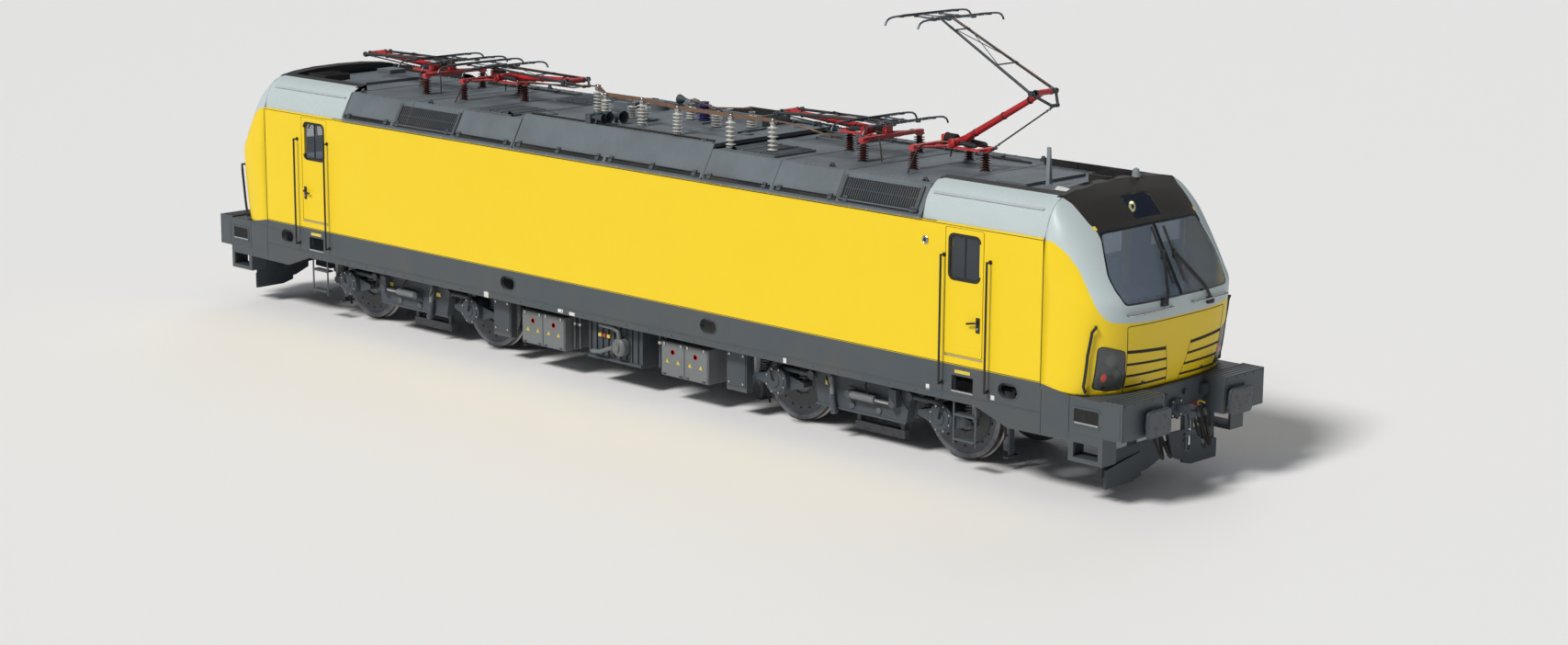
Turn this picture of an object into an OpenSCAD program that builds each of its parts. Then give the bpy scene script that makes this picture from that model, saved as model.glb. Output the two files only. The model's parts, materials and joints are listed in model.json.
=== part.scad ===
// Four-axle electric locomotive: hollow body, two cabs, two motor bogies and four pantographs.
// Millimetres. +X is cab 1, +Y is its left side, +Z is up, z = 0 is the wheels' flange tips.

/* [Overall] */
// Length over the buffer faces
buffer_span = 18980; // [18000:10:20000]
// Width over the side walls
body_w = 3012; // [2800:2:3100]
// Thickness of the side walls, cab shells and noses
wall_t = 60; // [40:1:80]
// Height of the machine room's flat roof above the rail
roof_z = 3712; // [3600:1:3850]
// Height of the cab roof's crown above the rail
crown_z = 3871; // [3800:1:4000]
// Height of the eaves, where the roof meets the side wall
eave_z = 3292; // [3200:1:3350]
// Height of the side wall's lower edge, at the grey solebar
sill_z = 1445; // [1400:1:1500]

/* [Cabs] */
// Distance from the middle to the seam behind each nose
nose_x = 8070; // [7900:10:8200]
// Reach of the nose ahead of that seam at the foot of the windscreen
nose_reach = 1037; // [900:1:1150]
// Distance from the middle to each cab's rear wall
cab_back_x = 6060; // [5900:10:6200]
// Distance from the middle to the door opening's inner jamb
door_x = 6460; // [6400:5:6600]
// Width of the door opening
door_w = 650; // [560:5:750]
// Height of the door opening's sill above the rail
door_z = 1577; // [1550:1:1700]
// Height of the door opening
door_h = 1673; // [1500:1:1690]
// Radius of the door's hinge pins
hinge_r = 10; // [8:0.5:14]

/* [Running gear] */
// Distance between the bogie pivots
bogie_centres = 9500; // [9000:10:10000]
// Wheelbase of a bogie
bogie_base = 3000; // [2700:10:3200]
// Wheel diameter on the tread
wheel_d = 1250; // [1100:10:1300]
// Height of the flange beyond the tread
flange_h = 28; // [26:1:36]
// Distance between the backs of a wheelset's wheels
wheel_back = 1360; // [1350:1:1440]
// Width of a wheel's rim
rim_w = 135; // [120:1:145]
// Radius of the axle and of its journals
axle_r = 100; // [80:1:120]
// Running clearance on radius, at journals, pivots and hinges
run_gap = 0.08; // [0.02:0.01:0.1]
// Radius of the bogie's pivot post
pivot_r = 110; // [80:1:140]

/* [Pantographs] */
// Distance from the middle to the inner pantographs' arm pivots
panto_in_x = 3840; // [3700:10:3950]
// Distance from the middle to the outer pantographs' arm pivots
panto_out_x = 5410; // [5300:10:5500]
// Height of the arm pivots above the rail
panto_z = 4062; // [4050:1:4120]
// Length of the lower arm
lower_len = 1600; // [1400:10:1700]
// Length of the upper arm, from elbow to head
upper_len = 1900; // [1700:10:2000]
// Angle of a lowered pantograph's lower arm
down_angle = 3; // [2.5:0.5:5]
// Angle of the raised pantograph's lower arm
up_angle = 30; // [3:1:50]
// Degrees that the upper arm rises for each degree of the lower arm
arm_ratio = 0.915; // [0.8:0.005:1]
// Half of the width over the head's horns
head_half = 880; // [800:5:975]

/* [Hidden] */
$fn = 48;

seat = 0.3;                          // gap left where one piece rests on another
half_w = body_w / 2;
inner_w = half_w - wall_t;
half_l = buffer_span / 2;
wheel_r = wheel_d / 2;
bogie_x = bogie_centres / 2;
axle_x = bogie_base / 2;
end_z = 1360;                        // top of the end beams and of the cab floor
floor_t = 60;
floor_top = end_z;
floor_low = floor_top - floor_t;
skirt_z = 960;                       // lower edge of the solebar
skirt_end_z = 780;                   // lower edge of the solebar past the bogies
skirt_end_x = 8540;
beam_x = 9050;                       // front of the end beam
box_x = 9375;                        // front of the buffer boxes
box_in_y = half_w - 866;             // inner side of the buffer boxes
box_z = 895;
box_top = 1380;
buffer_y = 875;
buffer_z = 1060;
buffer_w = 490;
buffer_h = 350;

// copies at both ends, turned or mirrored, and on both sides
module both_ends() { for (a = [0, 180]) rotate([0, 0, a]) children(); }
module mirrored_ends() { for (s = [0, 1]) mirror([s, 0, 0]) children(); }
module both_sides() { for (s = [0, 1]) mirror([0, s, 0]) children(); }
module on_rail() { translate([0, 0, flange_h]) children(); }
// a box from its lowest to its highest corner
module block(a, b) { translate(a) cube(b - a); }
// a plate with an outline in X and Z, from y0 to y1
module side_plate(points, y0, y1) {
    translate([0, y1, 0]) rotate([90, 0, 0]) linear_extrude(y1 - y0) polygon(points);
}
// a bar with an outline in Y and Z, from x0 to x1
module along(points, x0, x1) {
    translate([x0, 0, 0]) rotate([90, 0, 90]) linear_extrude(x1 - x0) polygon(points);
}
// a round bar between two points
module rod(a, b, r) {
    d = b - a;
    flat = norm([d[0], d[1]]);
    translate(a) rotate([0, atan2(flat, d[2]), atan2(d[1], d[0])]) cylinder(r = r, h = norm(d));
}
module y_pin(x, z, r, y0, y1) {
    translate([x, y1, z]) rotate([90, 0, 0]) cylinder(r = r, h = y1 - y0);
}
module rounded(w, h, r) {
    square([w - 2 * r, h], center = true);
    square([w, h - 2 * r], center = true);
    for (i = [-1, 1], j = [-1, 1]) translate([i * (w / 2 - r), j * (h / 2 - r)]) circle(r);
}
// mirrored outline, for shapes that are alike left and right
function both(half) = concat(half, [for (i = [len(half) - 1:-1:0]) [-half[i][0], half[i][1]]]);

// ---------------------------------------------------------------- body

skirt = [
    [-skirt_end_x, end_z], [-skirt_end_x, skirt_end_z], [-7550, skirt_end_z - 12],
    [-7000, skirt_z], [7000, skirt_z], [7550, skirt_end_z - 12],
    [skirt_end_x, skirt_end_z], [skirt_end_x, end_z], [nose_x, end_z], [nose_x, sill_z],
    [-nose_x, sill_z], [-nose_x, end_z]
];
jack_x = [7545, 2130];
jack_z = 1250;
jack_w = 310;
jack_h = 200;
step_w = 360;
step_x = door_x + door_w / 2;
post_x = [2300, 2690];
post_y = [half_w - 326, half_w - 206];

module underframe() color("dimgray") on_rail() {
    difference() {
        union() {
            both_sides() side_plate(skirt, inner_w, half_w);
            block([-nose_x + 400, -inner_w, floor_low], [nose_x - 400, inner_w, floor_top]);
            both_ends() {
                block([nose_x - 400, -inner_w, 900], [nose_x - 340, inner_w, floor_top]);
                block([nose_x - 340, -inner_w, floor_low], [skirt_end_x, inner_w, floor_top]);
                block([skirt_end_x - 60, -half_w, box_z], [beam_x, half_w, floor_top]);
                both_sides() block([beam_x, box_in_y, box_z], [box_x, half_w, box_top]);
                translate([bogie_x, 0, 640]) cylinder(r = pivot_r, h = floor_low - 640);
                for (x = [-1, 1]) block([bogie_x + x * 800 - 60, -inner_w, 1200],
                    [bogie_x + x * 800 + 60, inner_w, floor_low]);
                both_sides() block([post_x[0], post_y[0], 350], [post_x[1], post_y[1], floor_low]);
            }
        }
        both_sides() both_ends() for (x = jack_x) translate([x, half_w + 1, jack_z])
            rotate([90, 0, 0]) linear_extrude(wall_t + 2) union() {
                square([jack_w - jack_h, jack_h], center = true);
                for (s = [-1, 1]) translate([s * (jack_w - jack_h) / 2, 0]) circle(d = jack_h);
            }
        both_sides() both_ends()
            block([step_x - step_w / 2, inner_w - 1, 1100], [step_x + step_w / 2, half_w + 1, 1310]);
    }
}

wall_top = eave_z - seat;
pin_y = inner_w - 22;                // hinge axis, inside the wall
hinge_zs = [door_z + 220, door_z + door_h / 2, door_z + door_h - 300];
hinge_lug = 40;

module side_walls() color("gold") on_rail() both_sides() difference() {
    union() {
        block([-nose_x + 2, inner_w, sill_z + seat], [nose_x - 2, half_w, wall_top]);
        mirrored_ends() for (z = hinge_zs) hinge_fixed(z);
    }
    mirrored_ends() block([door_x, inner_w - 1, door_z], [door_x + door_w, half_w + 1, door_z + door_h]);
}
// the pin and its two lugs on the wall, with room between them for the door's knuckle
module hinge_fixed(z) {
    x = door_x + 2;
    translate([x, pin_y, z]) cylinder(r = hinge_r, h = 120);
    for (dz = [0, 120 - hinge_lug / 2]) translate([0, 0, z + dz]) {
        translate([x, pin_y, 0]) cylinder(r = 18, h = hinge_lug / 2);
        translate([x - 60, pin_y - 6, 0]) cube([60, inner_w - pin_y + 8, hinge_lug / 2]);
    }
}

hood_x = [1980, 2000, 6030];
hood_ridge = half_w - 206;
middle_z = 3785;
hood_outer = both([[half_w, eave_z], [half_w, eave_z + 43], [hood_ridge, roof_z]]);
hood_inner = both([[inner_w, eave_z - 1], [inner_w, eave_z + 30], [hood_ridge - 40, roof_z - wall_t]]);
middle_outer = both([[half_w, eave_z], [half_w, eave_z + 43], [hood_ridge - 40, middle_z]]);
middle_inner = both([[inner_w, eave_z - 1], [inner_w, eave_z + 30], [hood_ridge - 80, middle_z - wall_t]]);

module roof_hoods() color("slategray") on_rail() {
    both_ends() difference() {
        along(hood_outer, hood_x[1], hood_x[2]);
        along(hood_inner, hood_x[1] - 1, hood_x[2] - wall_t);
    }
    difference() {
        along(middle_outer, -hood_x[0], hood_x[0]);
        along(middle_inner, -hood_x[0] - 1, hood_x[0] + 1);
    }
}

// half of the cab's cross-section above the eaves
shoulder = [for (p = [[28, eave_z], [66, 3455], [123, 3585], [218, 3700], [376, 3785], [606, 3827],
    [1006, 3860]]) [half_w - p[0], p[1]]];
shoulder_in = [for (p = shoulder) if (p[1] < 3750)
    [p[0] - wall_t, min(p[1] - (p[1] > eave_z ? wall_t * 0.9 : 1), roof_z - wall_t)]];
well_y = half_w - 506;
well_x = 7880;

module cab_shells() color("silver") on_rail() both_ends() difference() {
    along(both(concat(shoulder, [[0, crown_z]])), hood_x[2] + 10, nose_x - 2);
    along(both(concat(shoulder_in, [[0, roof_z - wall_t]])), hood_x[2] - 1, nose_x + 1);
    block([hood_x[2], -well_y, roof_z], [well_x, well_y, crown_z + 10]);
}

// The nose: rows run up its middle and round onto the roof, columns run from the middle to the
// seam. Each row gives reach at the middle, height at the middle, half width and height at the
// seam, and the roundness of its plan.
nose_rows = [
    [nose_reach - 125, end_z + seat, half_w, end_z + seat, 3.4],
    [nose_reach - 60, 1600, half_w, 1600, 3.5],
    [nose_reach - 26, 1856, half_w, 1856, 3.6],
    [nose_reach - 8, 2180, half_w, 2180, 3.8],
    [nose_reach, 2497, half_w, 2497, 3.9],
    [nose_reach - 105, 2720, half_w, 2710, 3.8],
    [nose_reach - 222, 2930, half_w, 2900, 3.6],
    [nose_reach - 345, 3150, half_w - 2, 3090, 3.3],
    [nose_reach - 472, 3374, half_w - 12, 3262, 3.0],
    [nose_reach - 545, 3447, half_w - 45, 3400, 2.8],
    [nose_reach - 655, 3566, half_w - 81, 3500, 2.7],
    [nose_reach - 813, 3712, half_w - 136, 3610, 2.6],
    [nose_reach - 940, 3805, half_w - 218, 3700, 2.5],
    [0, crown_z, half_w - 376, 3785, 2.4]
];
pane_rows = [4, 8];
pane_cols = 4;
corner_n = 3.6;
pane_v = 0.69;
pane_angle = asin(pow(pane_v, corner_n / 2));
half_cols = concat([for (i = [0:pane_cols]) pane_v * i / pane_cols],
    [for (i = [1:7]) pow(sin(pane_angle + (90 - pane_angle) * i / 7), 2 / corner_n)]);
last_col = len(half_cols) - 1;
function bend(v, n) = v >= 1 ? 0 : pow(1 - pow(v, n), 1 / n);
function nose_point(row, v) = let (b = bend(abs(v), row[4]), w = pow(abs(v), 3))
    [nose_x + 4 + row[0] * b, row[2] * v, row[1] + (row[3] - row[1]) * w];
// the same surface moved inwards by a share of the wall
function inward(row, v, t) = let (p = nose_point(row, v), k = 1 - t / half_w)
    [nose_x + 4 + (p[0] - nose_x - 4) * (1 - t / 1000), p[1] * k,
        p[2] - t * max(0, (row[1] - 2700) / 1300)];
cols = [for (i = [-last_col:last_col]) sign(i) * half_cols[abs(i)]];
function grid(rows, vs, t) = [for (r = rows) for (v = vs) inward(r, v, t)];
function is_hole(i, j) = i >= pane_rows[0] && i < pane_rows[1] && abs(j + 0.5 - last_col) < pane_cols;
function quad(a, b, c, d) = [[a, c, b], [a, d, c]];
function flat(list) = [for (l = list) for (x = l) x];

// a closed skin between two copies of a grid, leaving out its hole
module shell(rows, vs, t0, t1, with_hole) {
    n = len(vs);
    m = len(rows);
    base = n * m;
    points = concat(grid(rows, vs, t0), grid(rows, vs, t1));
    solid = function (i, j) i >= 0 && j >= 0 && i < m - 1 && j < n - 1
        && !(with_hole && is_hole(i, j));
    faces = flat([for (i = [0:m - 2]) for (j = [0:n - 2]) if (solid(i, j))
        let (a = i * n + j, b = a + 1, c = b + n, d = a + n)
        concat(
            quad(a, d, c, b), quad(base + a, base + b, base + c, base + d),
            solid(i - 1, j) ? [] : quad(a, b, base + b, base + a),
            solid(i + 1, j) ? [] : quad(c, d, base + d, base + c),
            solid(i, j - 1) ? [] : quad(d, a, base + a, base + d),
            solid(i, j + 1) ? [] : quad(b, c, base + c, base + b)
        )]);
    polyhedron(points, faces);
}

module cab_noses() color("gold") on_rail() both_ends() shell(nose_rows, cols, 0, wall_t, true);

function mix(a, b, k) = a + (b - a) * k;
pane_edge = 0.004;
module windscreens() color([0.3, 0.4, 0.5, 0.5]) on_rail() both_ends() {
    glass = [for (i = [pane_rows[0]:pane_rows[1]])
        i == pane_rows[0] ? mix(nose_rows[i], nose_rows[i + 1], pane_edge)
        : i == pane_rows[1] ? mix(nose_rows[i], nose_rows[i - 1], pane_edge) : nose_rows[i]];
    vs = [for (i = [-pane_cols:pane_cols]) sign(i) * pane_v * (abs(i) / pane_cols)
        * (abs(i) == pane_cols ? 1 - pane_edge / 4 : 1)];
    shell(glass, vs, 12, 30, false);
}

module cab_bulkheads() color("gainsboro") on_rail() both_ends() difference() {
    block([cab_back_x, -inner_w + seat, floor_top + seat], [cab_back_x + 50, inner_w - seat, eave_z - 8]);
    block([cab_back_x - 1, -350, floor_top + 40], [cab_back_x + 51, 350, floor_top + 1880]);
}

desk_x = 8330;
desk_y = half_w - 526;
module drivers_desks() color("steelblue") on_rail() both_ends() {
    side_plate([[desk_x, floor_top + seat], [desk_x + 60, 2080], [desk_x - 120, 2150],
        [desk_x - 100, 2230], [desk_x + 380, 2330], [desk_x + 430, floor_top + seat]], -desk_y, desk_y);
}
module driver_seats() color("darkslategray") on_rail() both_ends() {
    translate([7850, 0, 0]) {
        translate([0, 0, floor_top + seat]) cylinder(r = 180, h = 30);
        translate([0, 0, floor_top + 30]) cylinder(r = 50, h = 390);
        block([-260, -260, floor_top + 400], [250, 260, floor_top + 520]);
        block([-360, -240, floor_top + 400], [-240, 240, floor_top + 1180]);
    }
}

// a thin cover on the outside of the nose, over a stretch of its rows and columns
module nose_cover(rows, vs) shell(rows, vs, -18, -2.5 * seat, false);
lamp_v = [for (i = [4:7]) half_cols[i]];
lamp_rows = concat([mix(nose_rows[0], nose_rows[1], 0.3)], [for (i = [1:2]) nose_rows[i]]);
module headlights() color("black") on_rail() both_ends() {
    nose_cover(lamp_rows, lamp_v);
    nose_cover(lamp_rows, [for (i = [len(lamp_v) - 1:-1:0]) -lamp_v[i]]);
    nose_cover([for (i = [9:11]) nose_rows[i]], [for (i = [-1:1]) i * half_cols[1]]);
}

module buffers() color("darkslategray")
on_rail() both_ends() both_sides() translate([0, buffer_y, buffer_z]) {
    translate([box_x + seat, 0, 0]) rotate([0, 90, 0]) {
        cylinder(r = 160, h = 20);
        cylinder(r = 105, h = half_l - box_x - 40);
    }
    translate([half_l - 45, 0, 0]) rotate([0, 90, 0]) linear_extrude(45)
        rotate([0, 0, 90]) rounded(buffer_w, buffer_h, 40);
}

hook_z = 1040;
module screw_couplings() color("darkslategray") on_rail() both_ends() {
    block([9050 + seat, -110, hook_z - 110], [9090, 110, hook_z + 110]);
    block([9090, -35, hook_z - 45], [9260, 35, hook_z + 45]);
    side_plate([[9240, hook_z - 60], [9240, hook_z + 70], [9330, hook_z + 95], [9385, hook_z + 60],
        [9345, hook_z + 45], [9330, hook_z], [9390, hook_z - 10], [9400, hook_z - 60],
        [9340, hook_z - 100]], -30, 30);
}

module snow_ploughs() color("dimgray") on_rail() both_ends() {
    both_sides() block([8800, 500, 430], [8860, 640, box_z - seat]);
    both_sides()
        along([[1180, 150], [1180, 400], [480, 520], [430, 470], [440, 200], [640, 150]], 8860, 8900);
    block([8820, -480, 470], [8860, 480, 530]);
}

step_out = skirt_end_x + seat;
step_deep = 286;
module end_steps() color("dimgray") on_rail() both_ends() both_sides() difference() {
    block([step_out, half_w - step_deep, 530], [9080, half_w, box_z - seat]);
    block([8570, half_w - step_deep - 1, 590], [9040, half_w - 40, 850]);
    block([8620, half_w - 50, 590], [9010, half_w + 1, 780]);
}

ladder_x = [step_x - 185, step_x + 185];
module door_ladders() color("dimgray") on_rail() mirrored_ends() both_sides() {
    for (x = ladder_x) block([x - 15, inner_w - 16, 380], [x + 15, inner_w - seat, 1250]);
    for (z = [430, 760]) block([ladder_x[0], inner_w - 116, z], [ladder_x[1], inner_w + 14, z + 30]);
}

module grab_rails() color("black") on_rail() mirrored_ends() both_sides() {
    for (x = [door_x - 15, door_x + door_w + 107]) {
        rod([x, half_w + 74, 1165], [x, half_w + 74, 2885], 15);
        for (z = [1180, 2870]) rod([x, half_w + seat, z], [x, half_w + 74, z], 13);
    }
}

// ---------------------------------------------------------------- under the floor

under_y = half_w - 206;               // sides of the transformer
module transformer_tank() color("darkslategray") on_rail()
    block([-560, -under_y, 345], [580, under_y, floor_low - seat]);
module underfloor_boxes() color("slategray") on_rail() {
    both_ends() both_sides() block([1030, 420, 350], [1980, under_y + 50, 860]);
    both_ends() both_sides() block([1080, 500, 860], [1880, under_y - 200, floor_low - seat]);
}
module converter_racks() color("lightsteelblue") on_rail() {
    both_sides() block([-5200, 640, floor_top + seat], [5200, inner_w - 60, 3000]);
}

// ---------------------------------------------------------------- roof gear

module insulator(h, r) {
    cylinder(r = r * 0.55, h = h);
    cylinder(r = r * 0.9, h = 20);
    sheds = 5;
    for (i = [0:sheds - 1])
        translate([0, 0, 40 + (h - 70) * i / sheds]) cylinder(r1 = r, r2 = r * 0.6, h = 24);
}
bus_z = 4150;
bus_points = [[-1420, -290], [-695, -805], [55, -790], [1015, -1010], [2075, -1010], [2822, -940]];
post_points = [[-466, -500], [-276, -405], [1013, -234], [210, 47], [1411, 83]];

module roof_insulators() color("ivory") on_rail() {
    for (p = bus_points) translate([p[0], p[1], roof_at(p[0]) + seat])
        insulator(bus_z - roof_at(p[0]) - 2 * seat, 70);
    for (p = post_points) translate([p[0], p[1], roof_at(p[0]) + seat]) insulator(260, 70);
}
function roof_at(x) = abs(x) < hood_x[0] ? middle_z : roof_z;
bus_r = 16;
bus_line = [for (p = bus_points) [p[0], p[1], bus_z + bus_r + 3]];
module roof_busbars() color("saddlebrown") on_rail() {
    for (i = [0:len(bus_line) - 2]) rod(bus_line[i], bus_line[i + 1], bus_r);
    for (p = bus_line) translate([p[0], p[1], bus_z + seat]) cylinder(r = bus_r + 14, h = 2 * bus_r + 12);
}
module roof_switchgear() color("steelblue") on_rail() {
    translate([407, 126, middle_z + seat]) cylinder(r = 90, h = 300);
}
module roof_antennas() color("gray") on_rail() {
    along([[-390, roof_z + seat], [-385, 4230], [-355, 4230], [-310, roof_z + seat]], 7180, 7240);
}

// ---------------------------------------------------------------- pantographs

pivot_dx = [-330, 440];              // insulators behind and ahead of the arm pivot
pair_y = 575;
frame_low = 3990;
sites = [[-panto_out_x, -1, down_angle], [-panto_in_x, 1, down_angle],
    [panto_in_x, -1, down_angle], [panto_out_x, 1, up_angle]];
function upper_angle(a) = 1.5 + arm_ratio * (a - down_angle);
// the site's own frame: x runs from the pivot towards the elbow, z from the rail
module at_site(i)
on_rail() translate([sites[i][0], 0, 0]) rotate([0, 0, sites[i][1] > 0 ? 0 : 180]) children();
function elbow(a) = [lower_len * cos(a), 0, panto_z + lower_len * sin(a)];
function head_at(a) = elbow(a) + [-upper_len * cos(upper_angle(a)), 0, upper_len * sin(upper_angle(a))];
hook_len = 250;
hook_bend = 12;                      // how far the hook turns down from the upper arm's line
function hook_at(a) = let (b = upper_angle(a) + hook_bend)
    elbow(a) + [hook_len * cos(b), 0, -hook_len * sin(b)];
rod_foot = [520, 0, panto_z - 60];
arm_pin_r = 18;

module pantograph_insulators() color("brown") for (i = [0:3]) at_site(i)
    for (p = [[pivot_dx[0], -pair_y], [pivot_dx[0], pair_y], [pivot_dx[1], 0]])
        translate([p[0], p[1], roof_z + seat]) insulator(frame_low - roof_z - 2 * seat, 75);

module pantograph_frames() color("firebrick") for (i = [0:3]) at_site(i) {
    block([pivot_dx[0] - 40, -pair_y - 50, frame_low], [pivot_dx[0] + 40, pair_y + 50, frame_low + 50]);
    both_sides() block([pivot_dx[0] - 40, 150, frame_low], [pivot_dx[1] + 40, 190, frame_low + 30]);
    block([pivot_dx[1] - 40, -190, frame_low], [pivot_dx[1] + 40, 190, frame_low + 30]);
    both_sides() difference() {
        block([-40, 150, frame_low], [40, 190, panto_z + 40]);
        y_pin(0, panto_z, arm_pin_r + run_gap, 149, 191);
    }
    both_sides() block([pivot_dx[1] + 39, 20, frame_low], [rod_foot[0] + 25, 40, rod_foot[2] + 25]);
    y_pin(rod_foot[0], rod_foot[2], 10, -45, 45);
}

module lower_arm(i) at_site(i) {
    a = sites[i][2];
    e = elbow(a);
    difference() {
        union() {
            y_pin(0, panto_z, arm_pin_r, -205, 205);
            y_pin(0, panto_z, 55, -140, 140);
            rod([0, 0, panto_z], e, 45);
            y_pin(e[0], e[2], 40, -170, 170);
        }
        y_pin(e[0], e[2], arm_pin_r + run_gap, -300, 300);
    }
}
module upper_arm(i) at_site(i) {
    a = sites[i][2];
    e = elbow(a);
    h = head_at(a);
    k = hook_at(a);
    y_pin(e[0], e[2], arm_pin_r, -270, 270);
    both_sides() {
        difference() {
            rod([e[0], 256, e[2]], [h[0], 110, h[2]], 18);
            y_pin(h[0], h[2], 14 + run_gap, 0, 200);
        }
        rod([e[0], 256, e[2]], [k[0], 60, k[2]], 20);
        y_pin(e[0], e[2], 38, 232, 275);
        y_pin(k[0], k[2], 26, 22, 75);
    }
    difference() {
        y_pin(h[0], h[2], 28, -130, 130);
        y_pin(h[0], h[2], 14 + run_gap, -140, 140);
    }
}
module thrust_rod(i) at_site(i) {
    k = hook_at(sites[i][2]);
    difference() {
        union() {
            rod(rod_foot, k, 11);
            y_pin(rod_foot[0], rod_foot[2], 22, -15, 15);
            y_pin(k[0], k[2], 22, -15, 15);
        }
        y_pin(rod_foot[0], rod_foot[2], 10 + run_gap, -20, 20);
        y_pin(k[0], k[2], 12, -20, 20);
    }
}
strip_dx = 287;
strip_low = 18;
horn_z = 20;
module pan_head(i) at_site(i) {
    h = head_at(sites[i][2]);
    translate(h) {
        y_pin(0, 0, 14, -260, 260);
        both_sides() {
            block([-strip_dx, 240, -14], [strip_dx, 262, strip_low + 2]);
        }
        for (s = [-1, 1]) {
            block([s * strip_dx - 25, -600, strip_low], [s * strip_dx + 25, 600, strip_low + 32]);
            both_sides() {
                rod([s * strip_dx, 590, horn_z + 15], [s * strip_dx, 800, horn_z], 16);
                rod([s * strip_dx, 800, horn_z], [s * strip_dx, head_half, horn_z - 80], 16);
                translate([s * strip_dx, 800, horn_z]) sphere(18);
            }
        }
    }
}

// ---------------------------------------------------------------- doors

leaf_gap = 7;
pane_w = 500;
pane_h = 570;
pane_z = 2865;
module door_leaf() difference() {
    union() {
        block([door_x + leaf_gap, inner_w + 4, door_z + 6],
            [door_x + door_w - 12, half_w, door_z + door_h - 6]);
        for (z = hinge_zs) difference() {
            union() {
                translate([door_x + 2, pin_y, z + hinge_lug / 2 + 2])
                    cylinder(r = 18, h = 120 - hinge_lug - 4);
                block([door_x + 2, pin_y + 2, z + hinge_lug / 2 + 2],
                    [door_x + 80, inner_w + 8, z + 118 - hinge_lug / 2]);
            }
            translate([door_x + 2, pin_y, z]) cylinder(r = hinge_r + run_gap, h = 130);
        }
    }
    translate([door_x + door_w / 2, half_w + 1, pane_z]) rotate([90, 0, 0])
        linear_extrude(wall_t + 2) rounded(pane_w, pane_h, 70);
}
module cab_door(end, side) color("gold") on_rail() mirror([end, 0, 0]) mirror([0, side, 0]) door_leaf();

// ---------------------------------------------------------------- bogies

beam_y = [1030, 1180];
beam = [
    [-1950, 880], [-1950, 960], [1950, 960], [1950, 880],
    [900, 880], [800, 410], [-800, 410], [-900, 880]
];
transom_x = 400;
spring_y = min(1105, inner_w - 115);
spring_dx = 360;
spring_low = 660;
module at_bogie(end) on_rail() rotate([0, 0, end * 180]) translate([bogie_x, 0, 0]) children();

module bogie_frame(end) color("darkslategray") at_bogie(end) difference() {
    union() {
        both_sides() side_plate(beam, beam_y[0], beam_y[1]);
        block([-transom_x, -beam_y[0], 560], [transom_x, beam_y[0], 860]);
    }
    translate([0, 0, 500]) cylinder(r = pivot_r + run_gap, h = 500);
}
module bogie_springs(end) color("gray") at_bogie(end) both_sides() {
    for (x = [-300, 300])
        translate([x, spring_y, 960 + seat]) cylinder(r = 110, h = floor_low - 960 - 2 * seat);
    for (a = [-axle_x, axle_x], dx = [-spring_dx, spring_dx])
        translate([a + dx, spring_y, spring_low + seat]) cylinder(r = 75, h = 880 - spring_low - 2 * seat);
}
module axle_boxes(end) color("dimgray") at_bogie(end) both_sides() for (a = [-axle_x, axle_x]) difference() {
    union() {
        y_pin(a, wheel_r, 200, 1010, 1300);
        block([a - 450, beam_y[0], spring_low - 80], [a + 450, beam_y[1], spring_low]);
    }
    y_pin(a, wheel_r, axle_r + run_gap, 1000, 1240);
}
module traction_motors(end) color("slategray") at_bogie(end) for (s = [-1, 1]) mirror([s < 0 ? 1 : 0, 0, 0])
    block([transom_x + seat, -560, 330], [1300, 560, 900]);

wheelset_profile = [
    [0, -1200], [axle_r, -1200], [axle_r, -(wheel_back / 2 + rim_w)],
    [wheel_r - 5, -(wheel_back / 2 + rim_w)], [wheel_r, -(wheel_back / 2 + rim_w - 10)],
    [wheel_r, -(wheel_back / 2 + 34)],
    [wheel_r + flange_h, -(wheel_back / 2 + 20)], [wheel_r + flange_h, -(wheel_back / 2 + 10)],
    [wheel_r + 8, -(wheel_back / 2)], [axle_r + 40, -(wheel_back / 2)], [axle_r + 40, 0], [0, 0]
];
module wheelset(n) color("dimgray") on_rail() translate([n[0] * bogie_x + n[1] * axle_x, 0, wheel_r])
    for (s = [0, 1]) mirror([0, s, 0]) rotate([90, 0, 0]) mirror([0, 0, 1])
        rotate_extrude() polygon([for (p = wheelset_profile) [p[0], -p[1]]]);

underframe();
side_walls();
roof_hoods();
cab_shells();
cab_noses();
windscreens();
cab_bulkheads();
drivers_desks();
driver_seats();
headlights();
buffers();
screw_couplings();
snow_ploughs();
end_steps();
door_ladders();
grab_rails();
transformer_tank();
underfloor_boxes();
converter_racks();
roof_insulators();
roof_busbars();
roof_switchgear();
roof_antennas();
pantograph_frames();
pantograph_insulators();
cab_door(0, 0);  // cab_door_front_left
cab_door(0, 1);  // cab_door_front_right
cab_door(1, 0);  // cab_door_rear_left
cab_door(1, 1);  // cab_door_rear_right
bogie_frame(0);  // bogie_frame_front
bogie_frame(1);  // bogie_frame_rear
bogie_springs(0);  // bogie_springs_front
bogie_springs(1);  // bogie_springs_rear
axle_boxes(0);  // axle_boxes_front
axle_boxes(1);  // axle_boxes_rear
traction_motors(0);  // traction_motors_front
traction_motors(1);  // traction_motors_rear
wheelset([-1, -1]);  // wheelset_1
wheelset([-1, 1]);  // wheelset_2
wheelset([1, -1]);  // wheelset_3
wheelset([1, 1]);  // wheelset_4
color("firebrick") lower_arm(0);  // lower_arm_1
color("firebrick") lower_arm(1);  // lower_arm_2
color("firebrick") lower_arm(2);  // lower_arm_3
color("firebrick") lower_arm(3);  // lower_arm_4
color("black") thrust_rod(0);  // thrust_rod_1
color("black") thrust_rod(1);  // thrust_rod_2
color("black") thrust_rod(2);  // thrust_rod_3
color("black") thrust_rod(3);  // thrust_rod_4
color("dimgray") upper_arm(0);  // upper_arm_1
color("dimgray") upper_arm(1);  // upper_arm_2
color("dimgray") upper_arm(2);  // upper_arm_3
color("dimgray") upper_arm(3);  // upper_arm_4
color("slategray") pan_head(0);  // pan_head_1
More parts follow.
